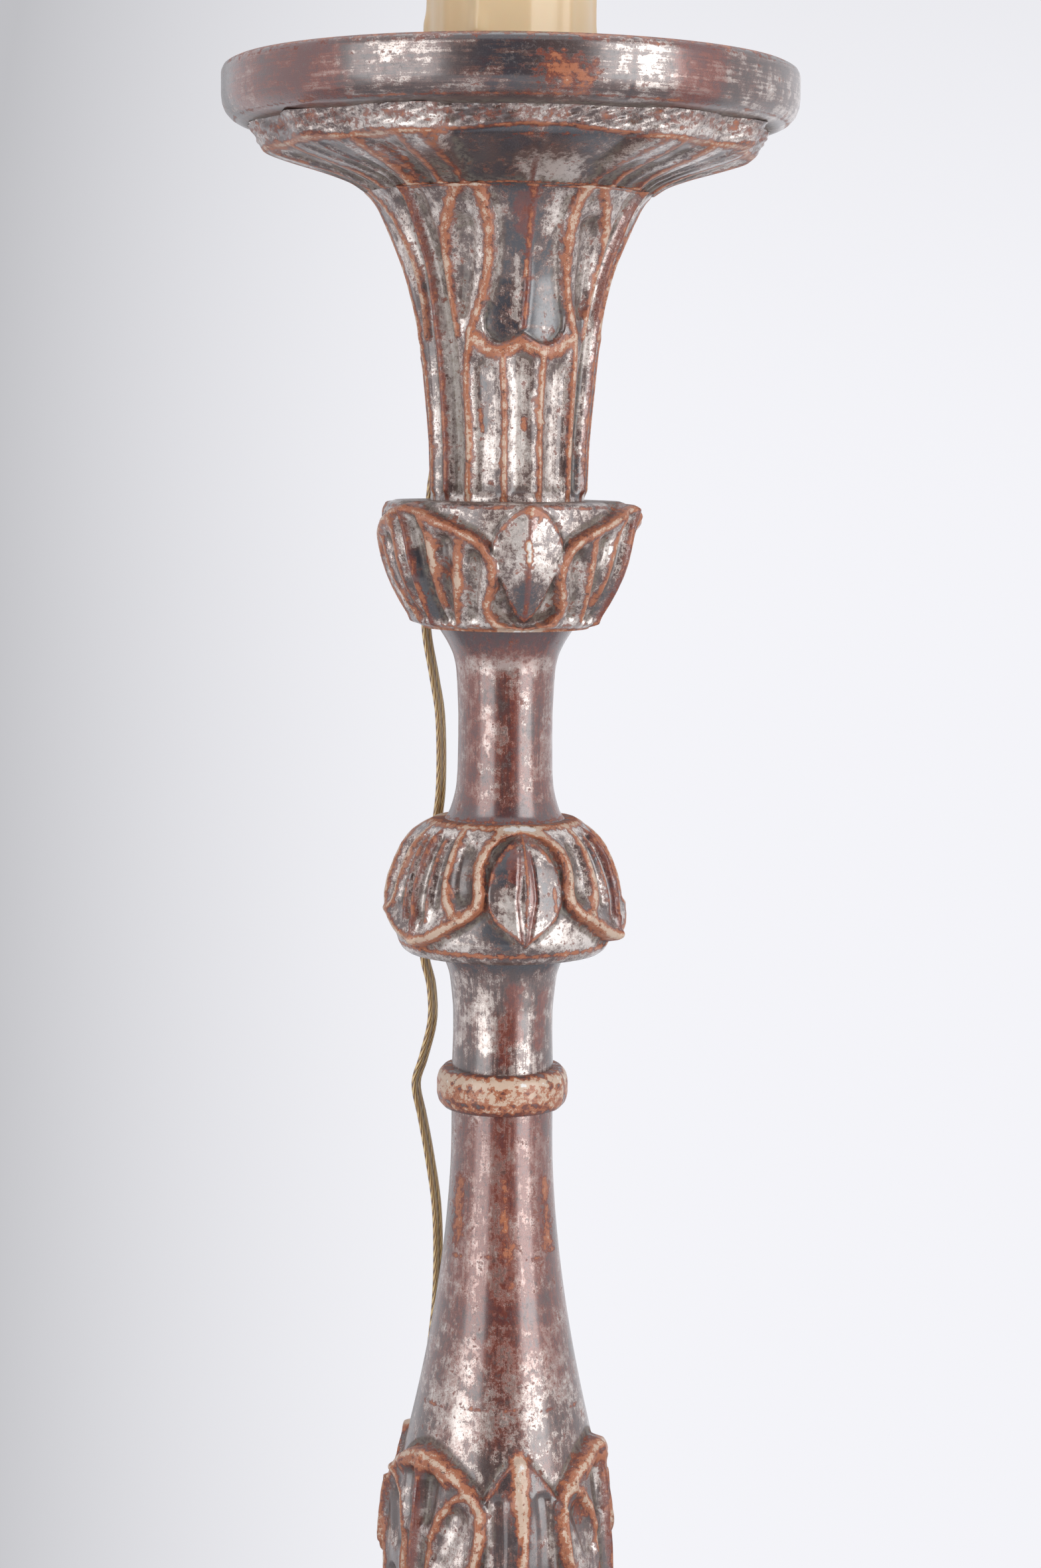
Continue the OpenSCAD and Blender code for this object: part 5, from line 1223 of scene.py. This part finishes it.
def cord_section() -> list[tuple[float, float]]:
    """Return the flat twin cord's section: two round strands and the groove between them."""
    found = []
    steps = 9
    for side in (1, -1):
        for i in range(steps):
            turn = math.radians(-126 + 252 * i / (steps - 1))
            x = side * (CORD_WIDTH / 2 - CORD_THICK / 2) + side * CORD_THICK / 2 * math.cos(turn)
            found.append((x, side * CORD_THICK / 2 * math.sin(turn)))
    return found


@dataclass
class Sweep:
    """A tube that keeps its section along a path.

    Attributes:
        path: The points it follows, in millimetres, one row each.
        wide: The direction of the section's width at each point.
        section: The section's points, (across, up) in millimetres.
    """

    path: Array
    wide: Array
    section: list

    def frames(self) -> list[Matrix]:
        """Return the section's place at each point."""
        tangents = np.gradient(self.path, axis=0)
        found = []
        for point, tangent, wide in zip(self.path, tangents, self.wide):
            forward = Vector(tangent).normalized()
            side = Vector(wide)
            side = (side - forward * side.dot(forward)).normalized()
            up = forward.cross(side)
            place = Matrix((side, up, forward)).transposed().to_4x4()
            place.translation = Vector(point) * MM
            found.append(place)
        return found

    def build(self, name: str) -> bpy.types.Object:
        """Extrude the section from point to point and close its ends."""
        bm = bmesh.new()
        run = bm.verts.layers.float.new("run")
        across = bm.verts.layers.float.new("across")
        places = self.frames()
        half = max(abs(x) for x, _ in self.section)
        ring = []
        for x, y in self.section:
            vert = bm.verts.new(places[0] @ Vector((x * MM, y * MM, 0.0)))
            vert[across] = 0.5 + 0.5 * x / half
            ring.append(vert)
        edges = [bm.edges.new((a, b)) for a, b in zip(ring, ring[1:] + ring[:1])]
        bmesh.ops.contextual_create(bm, geom=edges)
        lengths = np.concatenate([[0.0], np.cumsum(np.linalg.norm(np.diff(self.path, axis=0), axis=1))])
        for before, after, length in zip(places, places[1:], lengths[1:]):
            grown = bmesh.ops.extrude_edge_only(bm, edges=edges)["geom"]
            verts = [g for g in grown if isinstance(g, bmesh.types.BMVert)]
            edges = [g for g in grown if isinstance(g, bmesh.types.BMEdge)]
            bmesh.ops.transform(bm, matrix=after @ before.inverted(), verts=verts)
            for vert in verts:
                vert[run] = length * MM
        bmesh.ops.contextual_create(bm, geom=edges)
        return finished(name, bm, 50.0)


def coil_point(t: float) -> tuple[float, float, float]:
    """Return the middle line of the coil after t loops."""
    r = 34.6 - 5.8 * abs((t + 2) % 4 - 2)
    turn = math.radians(90 - 360 * t)
    n = min(3, max(1, math.floor(t / 2 + 0.5)))
    climb = n - 1 + float(smooth(-0.25, 0.25, np.array(t - n * 2)))
    return 95 + r * math.cos(turn), 130 + r * math.sin(turn), CORD_WIDTH / 2 + 5.8 * climb


class Cords:
    """The flat twin cord: from the stem to the foot switch, and from there to the plug."""

    def __init__(self, finishes: Finishes) -> None:
        """Keep the finishes."""
        self.finishes = finishes

    def drop(self) -> tuple[bpy.types.Object, Array]:
        """Return the cord from the stem to the foot switch, and its path."""
        a = math.radians(EXIT_ANGLE)
        mouth = (EXIT_REACH * math.sin(a), -EXIT_REACH * math.cos(a), EXIT_Z)
        back = EXIT_REACH - 9.0
        inner = (back * math.sin(a), -back * math.cos(a), EXIT_Z + 9.0 * math.tan(math.radians(EXIT_SLOPE)))
        path = rounded_path([inner, mouth, *DROP_POINTS], 3.0)
        tangents = np.gradient(path, axis=0)
        lying = smooth(60.0, 5.0, path[:, 2])[:, None]
        outwards = np.stack([path[:, 0], path[:, 1], 0 * path[:, 0]], axis=1)
        outwards /= np.linalg.norm(outwards, axis=1)[:, None]
        wide = np.cross(tangents, outwards * (1 - lying) + np.array([0.0, 0.0, 1.0]) * lying)
        return Sweep(path, wide, cord_section()).build("cord_to_switch"), path

    def supply(self) -> tuple[bpy.types.Object, Array]:
        """Return the coiled cord from the foot switch to the plug, and its path."""
        coil = [coil_point(t) for t in np.arange(0, 8.2501, 1 / 40)]
        lead = rounded_path([*LEAD_POINTS, *coil[:3]], 3.0)
        lead = lead[lead[:, 0] < coil[0][0] - 1.5]
        tail = rounded_path([*coil[-3:], *TAIL_POINTS], 3.0)
        tail = tail[tail[:, 1] < coil[-1][1] - 1.5]
        path = np.vstack([lead, np.array(coil), tail])
        wide = np.tile(np.array([0.0, 0.0, 1.0]), (len(path), 1))
        return Sweep(path, wide, cord_section()).build("cord_to_plug"), path

    def inner(self) -> bpy.types.Object:
        """Return the lead inside the stem, from the lampholder to the exit."""
        bend_z = EXIT_Z + EXIT_REACH * math.tan(math.radians(EXIT_SLOPE))
        a = math.radians(EXIT_ANGLE)
        out = np.array([math.sin(a), -math.cos(a), 0.0])
        turn = math.radians(90 - EXIT_SLOPE)
        radius = 11.5
        centre = np.array([0, 0, bend_z + radius * math.tan(turn / 2)]) + out * radius
        bend = [centre - radius * (out * math.cos(turn * s) + np.array([0, 0, 1.0]) * math.sin(turn * s))
                for s in np.linspace(0, 1, 7)]
        top = np.array([0.0, 0.0, 1410.0])
        stop = out * (EXIT_REACH - 9.0) + np.array([0, 0, EXIT_Z + 9.0 * math.tan(math.radians(EXIT_SLOPE))])
        straight = [top + (bend[0] - top) * s for s in np.linspace(0, 1, 12, endpoint=False)]
        path = np.vstack([np.array(straight), np.array(bend), stop])
        side = np.array([math.sin(a + math.pi / 2), -math.cos(a + math.pi / 2), 0.0])
        return Sweep(path, np.tile(side, (len(path), 1)), cord_section()).build("lead_in_stem")

    def build(self) -> None:
        drop, drop_path = self.drop()
        supply, supply_path = self.supply()
        inner = self.inner()
        for piece, nodes in ((drop, ("cord_drop",)), (supply, ("cord_lead", "cord_coil", "cord_tail")),
                             (inner, ("inner_lead",))):
            self.finishes.dress(piece, "cord")
            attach(piece, "stand")
            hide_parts(*nodes)


# ------------------------------------------------------------------ candle and base

DRIPS = (
    (-98, 1313, 8.0, 1.7), (-80, 1402, 6.0, 1.1), (-60, 1298, 8.0, 0.9), (-31, 1310, 6.6, 1.6),
    (-14, 1372, 6.0, 1.3), (4.5, 1298, 9.0, 0.8), (20, 1348, 6.6, 1.4), (37, 1298, 6.0, 0.9),
    (58, 1392, 6.0, 1.2), (82, 1305, 8.0, 1.7), (106, 1336, 6.6, 1.4), (131, 1386, 6.0, 1.2),
    (156, 1318, 7.4, 1.5), (-170, 1404, 5.6, 1.0), (-147, 1330, 7.4, 1.5), (-122, 1364, 6.4, 1.3))


def drip_strokes() -> tuple[Stroke, ...]:
    """Return the runs of wax down the candle sleeve, each with a drop at its end."""
    found = []
    for i, (angle, end, width, height) in enumerate(DRIPS):
        sway = 1.6 * math.sin(2.4 * i + 1.0)
        run = ((angle - sway, SLEEVE_TOP + 4), (angle + sway, 1425), (angle - 0.5 * sway, (1425 + end) / 2),
               (angle, end + 3))
        drop = ((angle, end + 5), (angle, end + 3))
        found += [Stroke(run, width, height), Stroke(drop, width + 2.4, 0.8 * height)]
    return tuple(found)


@dataclass
class CandleSleeve(Turning):
    """The candle sleeve, open at its foot and with a round mouth for the bulb."""

    inner: float = 33.7
    mouth: float = 23.0

    def build(self) -> bpy.types.Object:
        """Spin the sleeve's wall, and run the wax down its outside."""
        radius = float(self.outline.radii[0])
        wall = [(z, radius) for z in self.rows]
        lip = ((-1.6, radius - 0.5), (-0.5, radius - 1.6), (0, radius - 3.4), (0, 28.0), (0, self.mouth + 1.4),
               (-0.6, self.mouth + 0.4), (-1.8, self.mouth), (-3.4, self.mouth), (-4, self.mouth + 0.6),
               (-4, self.inner - 1), (-5, self.inner), (-82, self.inner))
        inside = [(SLEEVE_TOP + z, r) for z, r in lip] + [(DISH_Z, self.inner)]
        piece = finished(self.name, spun(wall + inside + wall[:1], self.columns), 50.0)
        self.carve(piece.data)
        return piece


@dataclass
class BaseBlock(Turning):
    """The block of the base: flat at its three corners, with hollow, fluted sides between them."""

    flat: float = 62.0
    reach: float = 20.0

    def surface(self, angle: Array, z: Array) -> Cut:
        """Return the block's sides."""
        t, b = (z - BLOCK_Z) / (CAP_Z - BLOCK_Z), off_large(angle)
        edge = self.flat / math.cos(math.radians(self.reach))
        hollow = 45 + 9 * (1 - t) ** 2 + 2 * ridge(t - 0.97, 0.03) + 3 * ridge(t - 0.04, 0.05)
        share = np.cos(np.radians(90 * np.clip((b - self.reach) / (60 - self.reach), 0, 1))) ** 1.4
        cut = self.carving.on(angle, z)
        side = smooth(self.reach + 1.0, self.reach + 6.0, b)
        cut.height = cut.height * side + np.where(b <= self.reach, self.flat / np.cos(np.radians(b)),
                                                  hollow + (edge - hollow) * share)
        cut.rub = np.maximum(cut.rub * side, 0.7 * ridge(b - self.reach, 1.4))
        return cut


BLOCK_LEAF: Points = (
    (-6, 268), (0, 268), (7, 254), (13, 232), (16, 206), (14, 186), (17, 168), (18, 144), (14, 118), (9, 96),
    (11, 82), (10, 68), (0, 52), (-6, 52))
BLOCK_CARVING = Carving(
    0.85,
    blades=(Blade(BLOCK_LEAF, 3.2, 1.8, 1.2, 4.6, 0.74, scoop=0.9),),
    strokes=(
        Stroke(((0, 262), (0, 58)), 4.0, 2.0, 0.5), Stroke(((8.4, 236), (8, 200)), 7.0, -2.0, end=0.7),
        Stroke(((10, 166), (9.6, 130)), 7.6, -2.0, end=0.7), Stroke(((5, 94), (5, 72)), 5.0, -1.6),
        Stroke(((14, 178), (6, 190), (1, 196)), 3.4, 1.2, 0.6),
        Stroke(((10, 100), (5, 110), (1, 114)), 3.2, 1.1, 0.6), Stroke(((27, 312), (27, 60)), 7.0, -1.8),
        Stroke(((33, 306), (33, 56)), 3.0, 0.9, 0.6), Stroke(((0, 320), (38, 320)), 4.6, 1.8, 0.7),
        Stroke(((0, 330), (38, 330)), 3.0, -1.2), Stroke(((0, 40), (38, 40)), 5.0, 1.8, 0.7),
        Stroke(((0, 290), (12, 284), (20, 296)), 4.0, 1.4, 0.65)))


def bezier(a: Array, b: Array, c: Array, d: Array, count: int) -> list:
    """Return points of a curve from a to d with handles b and c."""
    return [(1 - t) ** 3 * a + 3 * (1 - t) ** 2 * t * b + 3 * (1 - t) * t * t * c + t ** 3 * d
            for t in np.linspace(0, 1, count)]


def arc(centre: Array, radius: float, start: float, end: float, count: int) -> list:
    """Return points of an arc from start to end, in degrees from +X towards +Y."""
    turns = np.radians(np.linspace(start, end, count))
    return [centre + radius * np.array([math.cos(a), math.sin(a)]) for a in turns]


def lofted(name: str, rings: list, angle: float = 35.0) -> bpy.types.Object:
    """Extrude a closed ring of points through further rings, and close both ends.

    Args:
        name: The piece's name.
        rings: Rings of as many points each, in millimetres.
        angle: Edges that turn more than this many degrees stay sharp.

    Returns:
        The new object.
    """
    bm = bmesh.new()
    ring = [bm.verts.new(Vector(p) * MM) for p in rings[0]]
    edges = [bm.edges.new(pair) for pair in zip(ring, ring[1:] + ring[:1])]
    bmesh.ops.contextual_create(bm, geom=edges)
    for points in rings[1:]:
        lower = ring
        grown = bmesh.ops.extrude_edge_only(bm, edges=edges)["geom"]
        edges = [g for g in grown if isinstance(g, bmesh.types.BMEdge)]
        fresh = {g for g in grown if isinstance(g, bmesh.types.BMVert)}
        ring = [next(e.other_vert(v) for e in v.link_edges if e.other_vert(v) in fresh) for v in lower]
        for vert, point in zip(ring, points):
            vert.co = Vector(point) * MM
    bmesh.ops.contextual_create(bm, geom=edges)
    return finished(name, bm, angle)


def joined(name: str, parts: list[bpy.types.Object], angle: float) -> bpy.types.Object:
    """Return one object made of the meshes of several, which are removed."""
    bm = bmesh.new()
    for part in parts:
        bm.from_mesh(part.data)
        bpy.data.meshes.remove(part.data)
    return finished(name, bm, angle)


def dress_evenly(mesh: bpy.types.Mesh, rub: Array, hollow: Array) -> None:
    """Store the wear and the painted hollow shade of a piece that has no marks of its own."""
    for label, values in (("rub", rub), ("hollow", hollow), ("tone", 0.5 + 0 * rub), ("red", 0 * rub)):
        store(mesh, label, values)


def outwards(angle: float) -> Array:
    """Return the direction away from the stem at an angle in degrees."""
    return np.array([math.sin(math.radians(angle)), -math.cos(math.radians(angle))])


@dataclass
class Base:
    """The plinth board and the three scroll brackets."""

    CREST: ClassVar[tuple[float, float]] = (76.0, 316.0)    # middles of a bracket's two rolls, out and up
    FOOT: ClassVar[tuple[float, float]] = (120.0, 55.75)

    reach: float = 158.0
    hollow: float = 76.0
    corner_side: float = 29.0
    scroll_wide: float = 36.0
    block_flat: float = 62.0

    def board_ring(self, inset: float) -> list:
        """Return the plinth's outline, set in by inset."""
        found = []
        reach, side = self.reach - inset, self.corner_side - inset / 2
        hollow = self.hollow - inset
        for corner in (60, 180, 300):
            out, across = outwards(corner), outwards(corner + 90)
            first, last = out * reach - across * side, out * reach + across * side
            found += [first, last]
            away, along_side = outwards(corner + 60), outwards(corner + 150)
            end_u, end_v = last @ away, last @ along_side
            half = abs(end_v) + 0.5
            dip = end_u - hollow
            radius = (half * half + dip * dip) / (2 * dip)
            centre = away * (hollow + radius)
            steps = np.linspace(end_v, -end_v, 41)
            found += [centre - away * math.sqrt(radius * radius - v * v) + along_side * v for v in steps[1:-1]]
        return found

    def plinth(self) -> bpy.types.Object:
        """Return the board with its moulded edge."""
        profile = ((0.0, 1.4), (1.0, 0.2), (2.2, 0.0), (12.0, 0.0), (13.4, 0.5), (14.2, 1.8), (14.4, 3.4),
                   (14.4, 6.2), (15.2, 6.0), (18.6, 6.4), (21.4, 7.4), (23.2, 9.2), (23.8, 10.8), (24.0, 12.4))
        board = lofted("plinth_wood", [[(x, y, z) for x, y in self.board_ring(inset)] for z, inset in profile])
        z = positions(board.data)[:, 2] / MM
        dress_evenly(board.data, 0.66 * ridge(z - 13.4, 1.4) + 0.6 * ridge(z - 22.9, 0.6), ridge(z - 15.0, 1.0))
        return board

    def side_view(self) -> list:
        """Return the scroll's outline, x outwards and y up."""
        crest, top_r = np.array(self.CREST), 20.0
        low, low_r = np.array(self.FOOT), 33.0
        foot = math.degrees(math.acos(9.0 / low_r))
        front = bezier(crest + [16.0, -12.0], np.array([70.0, 196.0]), np.array([76.0, 110.75]),
                       low + [9.9, 31.35], 34)
        back = bezier(low + [-16.5, -26.4], low + [-33.0, -6.6], np.array([70.0, 58.0]),
                      np.array([self.block_flat, 68.0]), 14)
        face = [np.array([self.block_flat, z]) for z in (160.0, 240.0)]
        reach = math.degrees(math.acos(-14.0 / top_r))
        start = arc(crest, top_r, reach, -36.9, 26)
        return (start + front[1:-1] + arc(low, low_r, 72.5, -foot, 26) + arc(low, low_r, foot - 180, -122.0, 5)
                + back[1:] + face)

    def scroll(self, name: str, corner: float) -> bpy.types.Object:
        """Return one bracket: rounded edges, hollow bands and a middle rib."""
        flat = np.array(self.side_view())
        ahead, behind = np.roll(flat, -1, axis=0), np.roll(flat, 1, axis=0)
        lie = ahead - behind
        inwards = np.stack([lie[:, 1], -lie[:, 0]], axis=1) / np.linalg.norm(lie, axis=1)[:, None]
        free = smooth(62.5, 68.0, flat[:, 0]) * smooth(24.2, 30.0, flat[:, 1])
        half = self.scroll_wide / 2
        slices = ((-half, 2.4), (-half + 0.7, 0.9), (-half + 2.2, 0.0), (-half + 5.0, 0.0), (-half + 6.6, 1.6),
                  (-half + 9, 2.3), (-6.0, 2.0), (-4.0, 0.6), (-2.4, -0.4), (0.0, -0.8))
        slices += tuple((-y, d) for y, d in reversed(slices[:-1]))
        out, across = outwards(corner), outwards(corner + 90)
        rings = []
        for y, depth in slices:
            shape = flat + inwards * (depth * free)[:, None]
            rings.append([(*(out * p[0] + across * y), p[1]) for p in shape])
        return lofted(name, rings, 50.0)

    def volute(self, corner: float, centre: tuple[float, float], radius: float, turns: float,
               side: int) -> list[bpy.types.Object]:
        """Return a raised spiral and its round eye on one side of a bracket."""
        out, across = outwards(corner), outwards(corner + 90)
        lift = side * (self.scroll_wide / 2 + 0.2)
        path = []
        for t in np.linspace(0, 1, int(40 * turns)):
            r, turn = radius * (1 - 0.74 * t), math.radians(110 - 360 * turns * t)
            path.append((*(out * (centre[0] + r * math.cos(turn)) + across * lift * (1 + 0.05 * t)),
                         centre[1] + r * math.sin(turn)))
        section = [(2.3 * math.cos(a), 2.0 * math.sin(a)) for a in np.radians(range(0, 360, 36))]
        wide = np.tile(np.array([*across, 0.0]), (len(path), 1))
        spiral = Sweep(np.array(path), wide, section).build("spiral")
        bm = bmesh.new()
        middle = (*(out * centre[0] + across * lift), centre[1])
        flat_turned = Matrix.Rotation(math.radians(corner), 4, "Z") @ Matrix.Diagonal((0.45, 1, 1, 1))
        place = Matrix.Translation(Vector(middle) * MM) @ flat_turned
        bmesh.ops.create_uvsphere(bm, u_segments=24, v_segments=14, radius=0.24 * radius * MM, matrix=place)
        return [spiral, finished("eye", bm)]

    def bracket(self, name: str, corner: float) -> bpy.types.Object:
        """Return one bracket with its spirals, and store its wear and painted hollow shade."""
        parts = [self.scroll(name + "_body", corner)]
        for side in (1, -1):
            parts += self.volute(corner, self.FOOT, 27.5, 2.25, side)
            parts += self.volute(corner, self.CREST, 15.5, 1.5, side)
        piece = joined(name, parts, 50.0)
        beside = np.abs(positions(piece.data)[:, :2] @ outwards(corner + 90)) / MM
        rub = along(((0, 0.5), (2.4, 0.42), (4, 0), (12, 0), (14, 0.15), (15.8, 0.6), (17.2, 0.64), (18, 0.05),
                     (18.2, 0.3), (19.6, 0.6), (30, 0.6)), beside)
        dress_evenly(piece.data, rub, ridge(beside - 8.0, 3.0) * 0.7)
        return piece

    def build(self, finishes: "Finishes") -> None:
        """Build, place and dress the board and the brackets."""
        made = [("plinth", self.plinth())]
        made += [(node, self.bracket(node + "_wood", corner))
                 for node, corner in (("scroll_right", 60.0), ("scroll_left", -60.0), ("scroll_back", 180.0))]
        for node, piece in made:
            finishes.dress(piece, "silver_base")
            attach(piece, "stand")
            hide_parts(node)
            LOG.info("%s: %d faces", piece.name, len(piece.data.polygons))


# ------------------------------------------------------------------ carried-over nodes

NODE_FINISHES = {
    "dowels": "plain_wood", "pan_screws": "steel",
    "flange": "steel", "flange_screws": "steel", "threaded_tube": "brass", "lock_nuts": "brass",
    "holder_cap": "brass", "holder_skirt": "brass", "holder_insert": "porcelain", "screw_shell": "brass",
    "contact_tongue": "brass", "terminal_screws": "brass", "bulb_cap": "brass",
    "bulb_contact": "steel", "bulb_glass": "glass", "bulb_stem": "glass", "bulb_filament": "steel",
    "exit_bush": "brass", "switch_base": "gold_plastic", "switch_cover": "gold_plastic",
    "switch_button": "gold_plastic", "switch_spring": "steel", "switch_contacts": "brass",
    "switch_glands": "gold_plastic", "switch_screws": "steel", "plug_body": "gold_plastic",
    "plug_gland": "gold_plastic", "plug_pins": "nickel"}


def dress_nodes(finishes: Finishes) -> None:
    """Give every CAD node that still shows its finish."""
    for node, finish in NODE_FINISHES.items():
        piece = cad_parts[node]
        if not piece.hide_render:
            finishes.dress(piece, finish)


# ------------------------------------------------------------------ studio

class Studio:
    """A pale floor, soft light and the camera."""

    CAMERA_AT = (-0.1947, -1.3854, 1.132)
    HEADING, PITCH, ROLL = -8.295, 83.644, 0.527
    LENS, FILM_WIDE = 70.0, 36.0
    WHITE = (0.905, 0.905, 0.945)
    FLOOR_RADIUS, FLOOR_FADE = 1.45, (0.42, 0.95)
    SIDE_FALL, TOP_FALL, MOST_FALL = 10.7, 2.2, 0.42        # how far the painted shade darkens the background
    GREY_STRENGTH = 0.28
    AIM = (0.0, 0.0, 0.95)
    CURTAIN_REACH, CURTAIN_TALL = 2.4, 3.2

    def floor(self) -> None:
        """Lay a pale floor that fades into the background."""
        bm = bmesh.new()
        bmesh.ops.create_circle(bm, cap_ends=True, radius=self.FLOOR_RADIUS, segments=96)
        floor = finished("studio_floor", bm)
        material = bpy.data.materials.new("pale_floor")
        material.use_nodes = True
        t = Tree(material.node_tree)
        coords = t.add("TexCoord", {}).outputs["Object"]
        reach = t.add("VectorMath", {0: coords}, operation="LENGTH").outputs["Value"]
        cloud = t.noise(coords, 1.5, 3.0)
        paint = t.mix((0.80, 0.80, 0.83), (0.76, 0.76, 0.79), cloud)
        pale = t.add("BsdfPrincipled", {"Base Color": paint, "Roughness": 0.85})
        glow = t.add("Emission", {"Color": (*self.WHITE, 1.0), "Strength": 1.0})
        path = t.add("LightPath", {})
        seen = t.math("MULTIPLY", t.fade(reach, *self.FLOOR_FADE), path.outputs["Is Camera Ray"])
        both = t.add("MixShader", {0: seen, 1: pale.outputs[0], 2: glow.outputs[0]})
        t.add("OutputMaterial", {"Surface": both.outputs[0]})
        floor.data.materials.append(material)

    def world(self) -> None:
        """Make the background pale to the camera and in reflections, and a plain grey light elsewhere.

        The pale background darkens softly to one side and towards the top: painted shade, as light falls off
        across a paper backdrop.
        """
        world = bpy.data.worlds.new("studio")
        bpy.context.scene.world = world
        world.use_nodes = True
        t = Tree(world.node_tree)
        path = t.add("LightPath", {})
        shown = t.math("MAXIMUM", path.outputs["Is Camera Ray"], path.outputs["Is Transmission Ray"])
        shown = t.math("MAXIMUM", shown, path.outputs["Is Glossy Ray"])
        towards = t.add("TexCoord", {}).outputs["Generated"]
        heading = math.radians(self.HEADING)
        ahead = (-math.sin(heading), math.cos(heading), 0.0)
        right = (math.cos(heading), math.sin(heading), 0.0)
        facing = t.add("VectorMath", {0: towards, 1: ahead}, operation="DOT_PRODUCT").outputs["Value"]
        beside = t.add("VectorMath", {0: towards, 1: right}, operation="DOT_PRODUCT").outputs["Value"]
        above = t.add("VectorMath", {0: towards, 1: (0.0, 0.0, 1.0)}, operation="DOT_PRODUCT").outputs["Value"]
        side = t.math("POWER", t.math("SUBTRACT", 0.02, beside, True), 2.0)
        top = t.math("POWER", t.math("ADD", above, 0.05, True), 2.0)
        fall = t.math("MINIMUM", t.total((side, self.SIDE_FALL), (top, self.TOP_FALL)), self.MOST_FALL)
        fall = t.math("MULTIPLY", fall, t.fade(facing, 0.84, 0.91))
        strength = t.math("SUBTRACT", 1.0, fall, True)
        white = t.add("Background", {"Color": (*self.WHITE, 1.0), "Strength": strength})
        grey = t.add("Background", {"Color": (0.9, 0.92, 1.0, 1.0), "Strength": self.GREY_STRENGTH})
        both = t.add("MixShader", {0: shown, 1: grey.outputs[0], 2: white.outputs[0]})
        t.add("OutputWorld", {"Surface": both.outputs[0]})

    def lamp(self, name: str, place: tuple, size: tuple[float, float], power: float) -> None:
        """Add a soft rectangular lamp that faces the lamp's stem."""
        light = bpy.data.lights.new(name, "AREA")
        light.shape = "RECTANGLE"
        light.size, light.size_y = size
        light.energy = power
        lamp = bpy.data.objects.new(name, light)
        lamp.location = place
        aim = Vector(self.AIM) - Vector(place)
        lamp.rotation_euler = aim.to_track_quat("-Z", "Y").to_euler()
        lamp.visible_camera = False
        bpy.context.scene.collection.objects.link(lamp)

    def screen(self) -> None:
        """Stand a dark curtain behind the camera, seen only in reflections."""
        bm = bmesh.new()
        middle = math.radians(self.HEADING + 2.5)
        turns = middle + np.radians(range(-28, 29, 7))
        rim = [bm.verts.new((self.CURTAIN_REACH * math.sin(a), -self.CURTAIN_REACH * math.cos(a), 0.0))
               for a in turns]
        edges = [bm.edges.new(pair) for pair in zip(rim, rim[1:])]
        grown = bmesh.ops.extrude_edge_only(bm, edges=edges)["geom"]
        upper = [g for g in grown if isinstance(g, bmesh.types.BMVert)]
        bmesh.ops.translate(bm, verts=upper, vec=(0.0, 0.0, self.CURTAIN_TALL))
        screen = finished("dark_curtain", bm)
        material = bpy.data.materials.new("dark_cloth")
        material.use_nodes = True
        t = Tree(material.node_tree)
        cloud = t.noise(t.add("TexCoord", {}).outputs["Object"], 3.0)
        shade = t.mix((0.075, 0.065, 0.07), (0.11, 0.10, 0.105), cloud)
        glow = t.add("Emission", {"Color": shade, "Strength": 1.0})
        t.add("OutputMaterial", {"Surface": glow.outputs[0]})
        screen.data.materials.append(material)
        screen.visible_camera = screen.visible_diffuse = False
        screen.visible_shadow = screen.visible_transmission = False

    def camera(self) -> None:
        """Stand the camera where the photograph was taken."""
        data = bpy.data.cameras.new("camera")
        data.lens = self.LENS
        data.sensor_width = self.FILM_WIDE
        camera = bpy.data.objects.new("camera", data)
        turns = [Matrix.Rotation(math.radians(angle), 4, axis)
                 for angle, axis in ((self.HEADING, "Z"), (self.PITCH, "X"), (self.ROLL, "Z"))]
        turn = turns[0] @ turns[1] @ turns[2]
        camera.matrix_world = Matrix.Translation(self.CAMERA_AT) @ turn
        bpy.context.scene.collection.objects.link(camera)
        bpy.context.scene.camera = camera

    def build(self) -> None:
        """Set up the whole studio."""
        self.floor()
        self.world()
        self.lamp("soft_left", (-1.50, -1.17, 1.25), (1.25, 2.2), 18.5)
        self.lamp("soft_right", (1.27, -1.41, 1.25), (1.1, 2.2), 26.0)
        self.lamp("soft_top", (0.0, 0.3, 3.0), (1.6, 1.6), 10.0)
        self.screen()
        self.camera()
        bpy.context.scene.view_settings.view_transform = "Standard"


# ------------------------------------------------------------------ whole lamp


def main() -> None:
    """Build the lamp in order."""
    logging.basicConfig(level=logging.INFO, format="%(message)s")
    finishes = Finishes()
    Studio().build()
    Cords(finishes).build()
    Stem(finishes).build()
    Base().build(finishes)
    dress_nodes(finishes)


if __name__ == "__main__":
    main()
